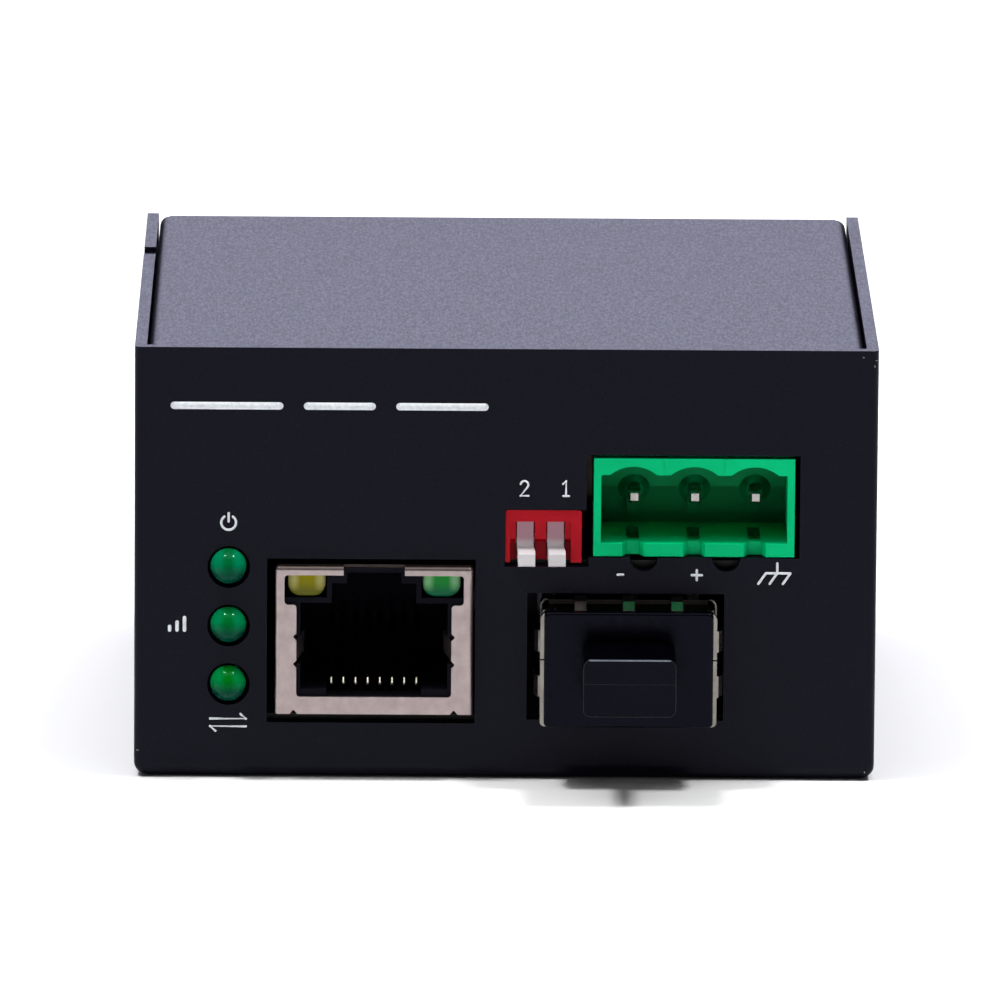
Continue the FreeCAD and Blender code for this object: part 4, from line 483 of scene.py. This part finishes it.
def makeStrokeTree(name, finish):
    # a flat stroke with round ends and joints along lines drawn in an upright plane
    tree, given = newTree(name, [("Width", "NodeSocketFloat"), ("Thickness", "NodeSocketFloat"),
                                 ("Panel", "NodeSocketFloat")])
    width, thick = given.outputs["Width"], given.outputs["Thickness"]
    profile = addNode(tree, "GeometryNodeCurvePrimitiveQuadrilateral",
                      links={"Width": width, "Height": thick})
    ribbon = addNode(tree, "GeometryNodeCurveToMesh", values={"Fill Caps": True},
                     links={"Curve": given.outputs["Geometry"], "Profile Curve": profile.outputs["Curve"]})
    half = addNode(tree, "ShaderNodeMath", {"operation": "MULTIPLY"}, {1: 0.5}, {0: width})
    # a joint is a little thinner than the stroke, so that their faces don't lie in each other
    lower = addNode(tree, "ShaderNodeMath", {"operation": "MULTIPLY"}, {1: 0.8}, {0: thick})
    dot = addNode(tree, "GeometryNodeMeshCylinder", {"fill_type": "NGON"}, {"Vertices": 20},
                  {"Radius": half.outputs["Value"], "Depth": lower.outputs["Value"]})
    joints = addNode(tree, "GeometryNodeInstanceOnPoints",
                     links={"Points": given.outputs["Geometry"], "Instance": dot.outputs["Mesh"]})
    both = addNode(tree, "GeometryNodeJoinGeometry")
    tree.links.new(ribbon.outputs["Mesh"], both.inputs["Geometry"])
    tree.links.new(joints.outputs["Instances"], both.inputs["Geometry"])
    lift = addNode(tree, "ShaderNodeMath", {"operation": "MULTIPLY_ADD"}, {1: -0.5},
                   {0: thick, 2: given.outputs["Panel"]})
    shift = addNode(tree, "ShaderNodeCombineXYZ", links={"Y": lift.outputs["Value"]})
    stood = addNode(tree, "GeometryNodeTransform", values={"Rotation": (math.pi / 2, 0.0, 0.0)},
                    links={"Geometry": both.outputs["Geometry"], "Translation": shift.outputs["Vector"]})
    endTree(tree, stood.outputs["Geometry"], finish)
    return tree


def lineCurve(name, lines, hair=0.0008):
    # lines drawn flat, each a list of places in millimetres and a hair higher than the one before
    curve = bpy.data.curves.new(name, "CURVE")
    curve.dimensions = "3D"
    for layer, line in enumerate(lines):
        spline = curve.splines.new("POLY")
        spline.points.add(len(line) - 1)
        for point, (x, z) in zip(spline.points, line):
            point.co = (x * mm, z * mm, layer * hair * mm, 1.0)
    return bpy.data.objects.new(name, curve)


def arcPoints(x, z, radius, start, end, count=14):
    angles = [math.radians(start + (end - start) * i / count) for i in range(count + 1)]
    return [(x + radius * math.cos(a), z + radius * math.sin(a)) for a in angles]


# in mm from the left of the case, header or switch, and up or down from what a mark belongs to; signalX
# is from the lamps' middle, and the arcs are in degrees
panelPrint = {"thick": 0.02, "bar": 0.62, "sign": 0.2, "signal": 0.3, "digit": 0.17,
              "barDrop": 4.95, "barEdges": [(3.0, 12.4), (14.1, 20.1), (21.8, 29.5)],
              "powerUp": 3.7, "ring": 0.62, "ringGap": (125, 415), "ringStem": (0.1, 0.8),
              "arrowDown": (3.05, 3.7), "arrowReach": 1.5, "barb": (0.45, 0.4),
              "poleX": (2.3, 8.68), "poleDrop": 0.95, "minus": 0.22, "plus": 0.42,
              "earthX": 15.4, "earthDrop": 0.75, "earthEnds": (-0.95, 1.1), "earthStem": 0.85,
              "earthFoot": (0.62, 0.9),
              "signalX": -4.9, "signalDrop": 0.5, "signalPitch": 0.62, "signalLow": 0.3, "signalStep": 0.38,
              "digitUp": 1.2, "digitHigh": 1.43, "twoX": 1.16, "bowl": 0.32, "bowlArc": (170, -35),
              "twoTail": 0.02, "oneX": 4.68, "oneStem": 0.36, "oneFlag": (0.26, 0.24), "oneFoot": 0.24}
switchLow, switchHigh = boxMm("dip_body")


def titleLines(look):
    # plain bars stand where the title was
    half, z = look["bar"] / 2, shellHigh.z - look["barDrop"]
    return [[(shellLow.x + start + half, z), (shellLow.x + end - half, z)]
            for start, end in look["barEdges"]]


def signLines(look):
    # power, over the upper lamp: an open ring with a stroke at its top
    z = lampZ + 2 * lampPitch + look["powerUp"]
    lines = [arcPoints(lampX, z, look["ring"], *look["ringGap"]),
             [(lampX, z + rise) for rise in look["ringStem"]]]
    # link, under the lowest lamp: two arrows, there and back
    along, rise = look["barb"]
    for way, drop in zip((1, -1), look["arrowDown"]):
        z, tip = lampZ - drop, lampX + way * look["arrowReach"]
        lines.append([(lampX - way * look["arrowReach"], z), (tip, z), (tip - way * along, z + way * rise)])
    # polarity, under the header
    z = headerLow.z - look["poleDrop"]
    minusX, plusX = [headerLow.x + x for x in look["poleX"]]
    minus, plus = look["minus"], look["plus"]
    lines.append([(minusX - minus, z), (minusX + minus, z)])
    lines.append([(plusX - plus, z), (plusX + plus, z)])
    lines.append([(plusX, z - plus), (plusX, z + plus)])
    # chassis earth: a bar with three feet under it and a stem above
    x, z = headerLow.x + look["earthX"], headerLow.z - look["earthDrop"]
    left, right = [x + end for end in look["earthEnds"]]
    lines.append([(left, z), (right, z)])
    lines.append([(x, z), (x, z + look["earthStem"])])
    back, down = look["earthFoot"]
    for foot in (left, x, right):
        lines.append([(foot, z), (foot - back, z - down)])
    return lines


def signalLines(look):
    # signal, beside the middle lamp: three rising bars
    foot = lampZ + lampPitch - look["signalDrop"]
    bars = []
    for i in range(3):
        x = lampX + look["signalX"] + i * look["signalPitch"]
        bars.append([(x, foot), (x, foot + look["signalLow"] + i * look["signalStep"])])
    return bars


def digitLines(look):
    # the numbers over the two levers
    inset, bowl = look["digit"] / 2, look["bowl"]
    low = switchHigh.z + look["digitUp"] + inset
    high = low + look["digitHigh"] - look["digit"]
    left = switchLow.x + look["twoX"] + inset
    two = arcPoints(left + bowl, high - bowl, bowl, *look["bowlArc"], 10)
    two += [(left, low), (left + 2 * bowl + look["twoTail"], low)]
    stem = switchLow.x + look["oneX"] + look["oneStem"]
    out, down = look["oneFlag"]
    one = [(stem - out, high - down), (stem, high), (stem, low)]
    foot = [(stem - look["oneFoot"], low), (stem + look["oneFoot"], low)]
    return [two, one, foot]


def makePanelPrint(look):
    tree = makeStrokeTree("inkStroke", "whiteInk")
    pieces = []
    for name, lines, width in (("titleBars", titleLines(look), look["bar"]),
                               ("panelSigns", signLines(look), look["sign"]),
                               ("signalBars", signalLines(look), look["signal"]),
                               ("switchDigits", digitLines(look), look["digit"])):
        pieces.append(growPiece(name, lineCurve(name, lines), tree, {
            "Width": width * mm, "Thickness": look["thick"] * mm, "Panel": panelY * mm}))
    return pieces


# places on the panel, reckoned from the nearest edges of the case
paintNicks = {"places": [(shellHigh.x - 1.3, shellHigh.z - 0.55), (shellHigh.x - 0.2, shellHigh.z - 0.8),
                         (shellHigh.x - 0.35, shellHigh.z - 1.3), (shellLow.x + 0.3, shellLow.z + 2.3),
                         (shellHigh.x - 0.8, shellLow.z + 0.75)],
              "across": 0.24, "thick": 0.012, "smallest": (0.7, 0.3, 1.0), "largest": (1.4, 0.6, 1.0),
              "seed": 7}


def makeNickTree(look):
    # small chips where the coat is gone: rough flakes of bare steel, each with its own turn and size
    tree, given = newTree("paintNick", [("Across", "NodeSocketFloat"), ("Thickness", "NodeSocketFloat")])
    half = addNode(tree, "ShaderNodeMath", {"operation": "MULTIPLY"}, {1: 0.5},
                   {0: given.outputs["Across"]})
    flake = addNode(tree, "GeometryNodeMeshCylinder", {"fill_type": "NGON"}, {"Vertices": 7},
                    {"Radius": half.outputs["Value"], "Depth": given.outputs["Thickness"]})
    turn = addNode(tree, "FunctionNodeRandomValue", {"data_type": "FLOAT_VECTOR"})
    turn.inputs[0].default_value = (math.pi / 2, 0.0, 0.0)
    turn.inputs[1].default_value = (math.pi / 2, 2 * math.pi, 0.0)
    turn.inputs["Seed"].default_value = look["seed"]
    size = addNode(tree, "FunctionNodeRandomValue", {"data_type": "FLOAT_VECTOR"})
    size.inputs[0].default_value = look["smallest"]
    size.inputs[1].default_value = look["largest"]
    size.inputs["Seed"].default_value = look["seed"] + 1
    chips = addNode(tree, "GeometryNodeInstanceOnPoints",
                    links={"Points": given.outputs["Geometry"], "Instance": flake.outputs["Mesh"],
                           "Rotation": turn.outputs[0], "Scale": size.outputs[0]})
    endTree(tree, chips.outputs["Instances"], "bareSteel")
    return tree


def makePaintNicks(look):
    mesh = bpy.data.meshes.new("paintNicks")
    y = panelY - look["thick"] / 2
    mesh.from_pydata([(x * mm, y * mm, z * mm) for x, z in look["places"]], [], [])
    return growPiece("paintNicks", bpy.data.objects.new("paintNicks", mesh), makeNickTree(look),
                     {"Across": look["across"] * mm, "Thickness": look["thick"] * mm})


plugHandle = {"wide": 7.8, "tall": 4.9, "pinLong": 2.6}
plugLines = {"inset": 0.07, "corner": 0.62, "edgeWide": 0.09, "highlightWide": 0.13, "highlightShare": 0.8,
             "partWide": 0.05, "partUp": 0.35, "partStart": 0.05, "thick": 0.03, "rimEnds": (115, 65)}


def makePlugLines(look):
    # thin lines on the dust plug's handle: a grey line round its rim, its parting line, and a painted
    # highlight along its top edge
    low, high = boxMm("dust_plug")
    cageLow, cageHigh = boxMm("sfp_cage")
    middle = (low.x + high.x) / 2
    level = (cageLow.z + plugHandle["pinLong"] + cageHigh.z) / 2
    across, tall = plugHandle["wide"] / 2 - look["inset"], plugHandle["tall"] / 2 - look["inset"]
    bend = look["corner"]
    left, right = middle - across, middle + across
    top, bottom = level + tall, level - tall
    start, end = look["rimEnds"]
    rim = arcPoints(left + bend, top - bend, bend, start, 180, 6)
    rim += arcPoints(left + bend, bottom + bend, bend, 180, 270, 8)
    rim += arcPoints(right - bend, bottom + bend, bend, 270, 360, 8)
    rim += arcPoints(right - bend, top - bend, bend, 0, end, 6)
    parting = level + look["partUp"]
    part = [(left + look["partStart"], parting), (right - look["partStart"], parting)]
    # painted highlight: a light grey strip along the handle's top edge
    topHighlight = [(left + bend * look["highlightShare"], top), (right - bend * look["highlightShare"], top)]
    pieces = []
    for name, line, wide, finish in (("plugRim", rim, look["edgeWide"], "plugEdge"),
                                     ("plugPartingLine", part, look["partWide"], "plugEdge"),
                                     ("plugTopHighlight", topHighlight, look["highlightWide"], "plugTopHighlight")):
        pieces.append(growPiece(name, lineCurve(name, [line]), makeStrokeTree(name, finish), {
            "Width": wide * mm, "Thickness": look["thick"] * mm, "Panel": low.y * mm}))
    return pieces


nutThread = {"radius": 1.25, "pitch": 0.5, "deep": 0.17, "inset": 0.1, "steps": 20}


def makeThreadTree(look):
    # a screw thread: a three-cornered rib wound along each bore
    tree, given = newTree("threadRib", [("Radius", "NodeSocketFloat"), ("Length", "NodeSocketFloat"),
                                        ("Turns", "NodeSocketFloat"), ("Rib", "NodeSocketFloat")])
    coil = addNode(tree, "GeometryNodeCurveSpiral", values={"Resolution": look["steps"]},
                   links={"Rotations": given.outputs["Turns"], "Start Radius": given.outputs["Radius"],
                          "End Radius": given.outputs["Radius"], "Height": given.outputs["Length"]})
    section = addNode(tree, "GeometryNodeCurvePrimitiveCircle", values={"Resolution": 3},
                      links={"Radius": given.outputs["Rib"]})
    rib = addNode(tree, "GeometryNodeCurveToMesh", values={"Fill Caps": True},
                  links={"Curve": coil.outputs["Curve"], "Profile Curve": section.outputs["Curve"]})
    each = addNode(tree, "GeometryNodeInstanceOnPoints", values={"Rotation": (math.pi / 2, 0.0, 0.0)},
                   links={"Points": given.outputs["Geometry"], "Instance": rib.outputs["Mesh"]})
    endTree(tree, each.outputs["Instances"], "zincPlatedSteel")
    return tree


def makeNutThreads(look):
    low, high = boxMm("rear_clinch_nuts")
    half = (high.x - low.x) / 2
    start = high.y - look["inset"]
    length = start - low.y - look["inset"]
    mesh = bpy.data.meshes.new("nutThreads")
    mesh.from_pydata([(middleX * mm, start * mm, z * mm) for z in (low.z + half, high.z - half)], [], [])
    return growPiece("nutThreads", bpy.data.objects.new("nutThreads", mesh), makeThreadTree(look), {
        "Radius": look["radius"] * mm, "Length": length * mm,
        "Turns": length / look["pitch"], "Rib": look["deep"] * mm})


# a profile's points are a finger's way back from the cage's front and how far it stands off the cage
springCollar = {"sheet": 0.15, "finger": 0.1, "gap": 0.02, "hookBend": 0.6, "archHigh": 0.44,
                "bandLong": 1.7, "topSetBack": 1.1, "fingerWide": 0.98, "sideFingerHigh": 1.8,
                "topPitch": 4.03, "sidePitch": 3.85, "sideUp": 7.74, "lipHigh": 0.17,
                "topProfile": [(0.12, 0.08), (1.04, 0.63), (1.15, 0.67), (1.7, 0.74), (2.6, 0.78),
                               (3.25, 0.78), (3.9, 0.6), (4.3, 0.45)],
                "sideProfile": [(0.92, 0.08), (1.15, 0.3), (1.6, 0.57), (2.0, 0.66), (2.5, 0.68),
                                (3.25, 0.68), (3.9, 0.35), (4.3, 0.1)]}


def makeStripTree():
    # a strip of sheet that follows its line, repeated along a row and turned to its side of the cage
    tree, given = newTree("stripRow", [("Sheet", "NodeSocketFloat"), ("Strip Width", "NodeSocketFloat"),
                                       ("Count", "NodeSocketInt"), ("Start", "NodeSocketVector"),
                                       ("Step", "NodeSocketVector"), ("Turn", "NodeSocketVector")])
    section = addNode(tree, "GeometryNodeCurvePrimitiveQuadrilateral",
                      links={"Width": given.outputs["Sheet"], "Height": given.outputs["Strip Width"]})
    strip = addNode(tree, "GeometryNodeCurveToMesh", values={"Fill Caps": True},
                    links={"Curve": given.outputs["Geometry"], "Profile Curve": section.outputs["Curve"]})
    row = addNode(tree, "GeometryNodeMeshLine", {"mode": "OFFSET"},
                  links={"Count": given.outputs["Count"], "Start Location": given.outputs["Start"],
                         "Offset": given.outputs["Step"]})
    strips = addNode(tree, "GeometryNodeInstanceOnPoints",
                     links={"Points": row.outputs["Mesh"], "Instance": strip.outputs["Mesh"],
                            "Rotation": given.outputs["Turn"]})
    endTree(tree, strips.outputs["Instances"], "tinPlatedCage")
    return tree


def joinPieces(name, parts, finish):
    # several meshes as one piece, with every face turned outwards
    work = bmesh.new()
    for part in parts:
        work.from_mesh(part.data)
        bpy.data.objects.remove(part)
    bmesh.ops.recalc_face_normals(work, faces=work.faces)
    for face in work.faces:
        face.material_index = 0
        face.smooth = False
    mesh = bpy.data.meshes.new(name)
    work.to_mesh(mesh)
    work.free()
    mesh.materials.append(finishes[finish])
    piece = bpy.data.objects.new(name, mesh)
    bpy.context.scene.collection.objects.link(piece)
    return piece


def makeSpringCollar(look):
    # the cage's earthing springs: a band in the panel's opening and fingers sprung forward along the cage
    cageLow, cageHigh = boxMm("sfp_cage")
    middle = (cageLow.x + cageHigh.x) / 2
    side = (cageHigh.x - cageLow.x) / 2 - look["lipHigh"]
    front, top = cageLow.y, cageHigh.z
    lowest = cageLow.z + look["sideUp"] - look["sidePitch"] / 2
    low = boxMm("sfp_spring_collar")[0].z
    tree = makeStripTree()
    quarter = math.pi / 2
    parts = []
    for name, line, wide, count, start, step, turn in (
            ("topFingers", look["topProfile"], look["fingerWide"], 3,
             (middle - look["topPitch"], front, top), (look["topPitch"], 0, 0), (quarter, 0, quarter)),
            ("leftFingers", look["sideProfile"], look["sideFingerHigh"], 2,
             (middle - side, front, lowest), (0, 0, look["sidePitch"]), (0, 0, quarter)),
            ("rightFingers", look["sideProfile"], look["sideFingerHigh"], 2,
             (middle + side, front, lowest), (0, 0, look["sidePitch"]), (2 * quarter, 0, quarter))):
        parts.append(growPiece(name, lineCurve(name, [line], 0), tree, {
            "Sheet": look["finger"] * mm, "Strip Width": wide * mm, "Count": count,
            "Start": [value * mm for value in start], "Step": [value * mm for value in step],
            "Turn": turn}))
    reach = side + look["gap"] + look["sheet"] / 2
    crest = look["archHigh"]
    bend = look["hookBend"]
    hooks = []
    for way in (-1, 1):
        upper = arcPoints(middle + way * (reach - bend), top + crest - bend, bend, 90 - way * 90, 90, 8)
        hooks.append([(middle + way * reach, low)] + upper)
    lying = top + look["gap"] + look["sheet"] / 2
    crown = [(middle - reach + bend, lying), (middle + reach - bend, lying)]
    for name, lines, setBack in (("bandSides", hooks, 0.0), ("bandTop", [crown], look["topSetBack"])):
        long = look["bandLong"] - setBack
        place = (0.0, panelY + setBack + long / 2, 0.0)
        parts.append(growPiece(name, lineCurve(name, lines, 0), tree, {
            "Sheet": look["sheet"] * mm, "Strip Width": long * mm, "Count": 1,
            "Start": [value * mm for value in place], "Step": (0.0, 0.0, 0.0),
            "Turn": (quarter, 0.0, 0.0)}))
    return joinPieces("springCollar", parts, "tinPlatedCage")


for piece in makePanelPrint(panelPrint):
    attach(piece, "case")
nicks = makePaintNicks(paintNicks)
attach(nicks, "case")
print("panel print and paint nicks made")

for piece in makePlugLines(plugLines):
    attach(piece, "plug")
threads = makeNutThreads(nutThread)
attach(threads, "case")
print("plug lines and nut threads made")

collar = makeSpringCollar(springCollar)
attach(collar, "case")
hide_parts("sfp_spring_collar")
print("spring collar made")

floorLook = {"base": "F2F2F3", "cloud": "F5F5F5", "cloudMm": 40.0, "metres": 6.0, "roughness": 0.7,
             "specular": 0.2, "dropMm": 0.02}


def makeFloor(look):
    # matt pale paper with hardly any tone in it
    material, tree, shader, place = newFinish("paleFloor")
    cloud = addNode(tree, "ShaderNodeTexNoise", values={"Scale": perSize(look["cloudMm"])},
                    links={"Vector": place})
    tone = addNode(tree, "ShaderNodeMix", {"data_type": "RGBA"},
                   {6: hexLinear(look["base"]), 7: hexLinear(look["cloud"])}, {0: cloud.outputs["Fac"]})
    tree.links.new(tone.outputs[2], shader.inputs["Base Color"])
    shader.inputs["Roughness"].default_value = look["roughness"]
    shader.inputs["Specular IOR Level"].default_value = look["specular"]
    work = bmesh.new()
    bmesh.ops.create_grid(work, x_segments=1, y_segments=1, size=look["metres"] / 2)
    mesh = bpy.data.meshes.new("floor")
    work.to_mesh(mesh)
    work.free()
    floor = bpy.data.objects.new("floor", mesh)
    mesh.materials.append(material)
    bpy.context.scene.collection.objects.link(floor)
    floor.location.z = (shellLow.z - look["dropMm"]) * mm


def areaLight(name, place, aim, width, height, watts, colour="FFFFFF"):
    # a soft box at its place, turned to what it lights
    lamp = bpy.data.lights.new(name, "AREA")
    lamp.shape = "RECTANGLE"
    lamp.size = width
    lamp.size_y = height
    lamp.energy = watts
    lamp.color = hexLinear(colour)[:3]
    holder = bpy.data.objects.new(name, lamp)
    holder.location = place
    holder.rotation_euler = (Vector(aim) - Vector(place)).to_track_quat("-Z", "Y").to_euler()
    bpy.context.scene.collection.objects.link(holder)


# places and sizes in metres, from the origin of the case
studioLook = {"world": "F4F4F8", "worldStrength": 0.12,
              "overheadAt": (0.0, 0.0, 0.9), "overheadAim": (0.0, 0.0, 0.0), "overheadSize": 1.1,
              "overheadWatts": 7.0, "backAt": (0.0, 1.3, 0.63), "backAim": (0.0, 0.0, 0.03),
              "backSize": (0.9, 0.7), "backWatts": 7.4, "backColour": "DCDCFA",
              "leftAt": (-0.25, -0.086, 0.75), "rightAt": (0.316, -0.05, 0.73),
              "softAim": (0.0, 0.0, 0.02), "softSize": 0.12, "softWatts": 3.4}


def makeLight(look):
    # two soft boxes nearly overhead, a wide one above them, and a high pale screen behind
    world = bpy.data.worlds.new("studio")
    bpy.context.scene.world = world
    world.use_nodes = True
    back = world.node_tree.nodes["Background"]
    back.inputs["Color"].default_value = hexLinear(look["world"])
    back.inputs["Strength"].default_value = look["worldStrength"]
    wide, soft = look["overheadSize"], look["softSize"]
    areaLight("overhead", look["overheadAt"], look["overheadAim"], wide, wide, look["overheadWatts"])
    areaLight("backdrop", look["backAt"], look["backAim"], *look["backSize"], look["backWatts"],
              look["backColour"])
    areaLight("softLeft", look["leftAt"], look["softAim"], soft, soft, look["softWatts"])
    areaLight("softRight", look["rightAt"], look["softAim"], soft, soft, look["softWatts"])


# angles in degrees, distance and clip in metres, the rest in mm
cameraLook = {"elevation": 11.7, "yaw": 0.42, "roll": 0.43, "distance": 1.218, "clip": (0.05, 20.0),
              "lens": 525.6, "sensor": 36.0, "targetX": -0.5, "targetZ": 23.86}


def makeCamera(look):
    # a long lens well in front of the case and a little above it
    tilt = math.radians(look["elevation"])
    yaw = math.radians(look["yaw"])
    roll = math.radians(look["roll"])
    forward = Vector((math.sin(yaw) * math.cos(tilt), math.cos(yaw) * math.cos(tilt), -math.sin(tilt)))
    right = Vector((math.cos(yaw), -math.sin(yaw), 0))
    up = right.cross(forward)
    rightTurned = right * math.cos(roll) + up * math.sin(roll)
    upTurned = up * math.cos(roll) - right * math.sin(roll)
    target = Vector((look["targetX"] * mm, panelY * mm, look["targetZ"] * mm))
    lens = bpy.data.cameras.new("camera")
    lens.lens = look["lens"]
    lens.sensor_width = look["sensor"]
    lens.clip_start, lens.clip_end = look["clip"]
    camera = bpy.data.objects.new("camera", lens)
    turn = Matrix((rightTurned, upTurned, -forward)).transposed()
    camera.matrix_world = Matrix.Translation(target - forward * look["distance"]) @ turn.to_4x4()
    bpy.context.scene.collection.objects.link(camera)
    bpy.context.scene.camera = camera


makeFloor(floorLook)
makeLight(studioLook)
makeCamera(cameraLook)
bpy.context.scene.view_settings.view_transform = "Standard"
print("floor, light and camera set")
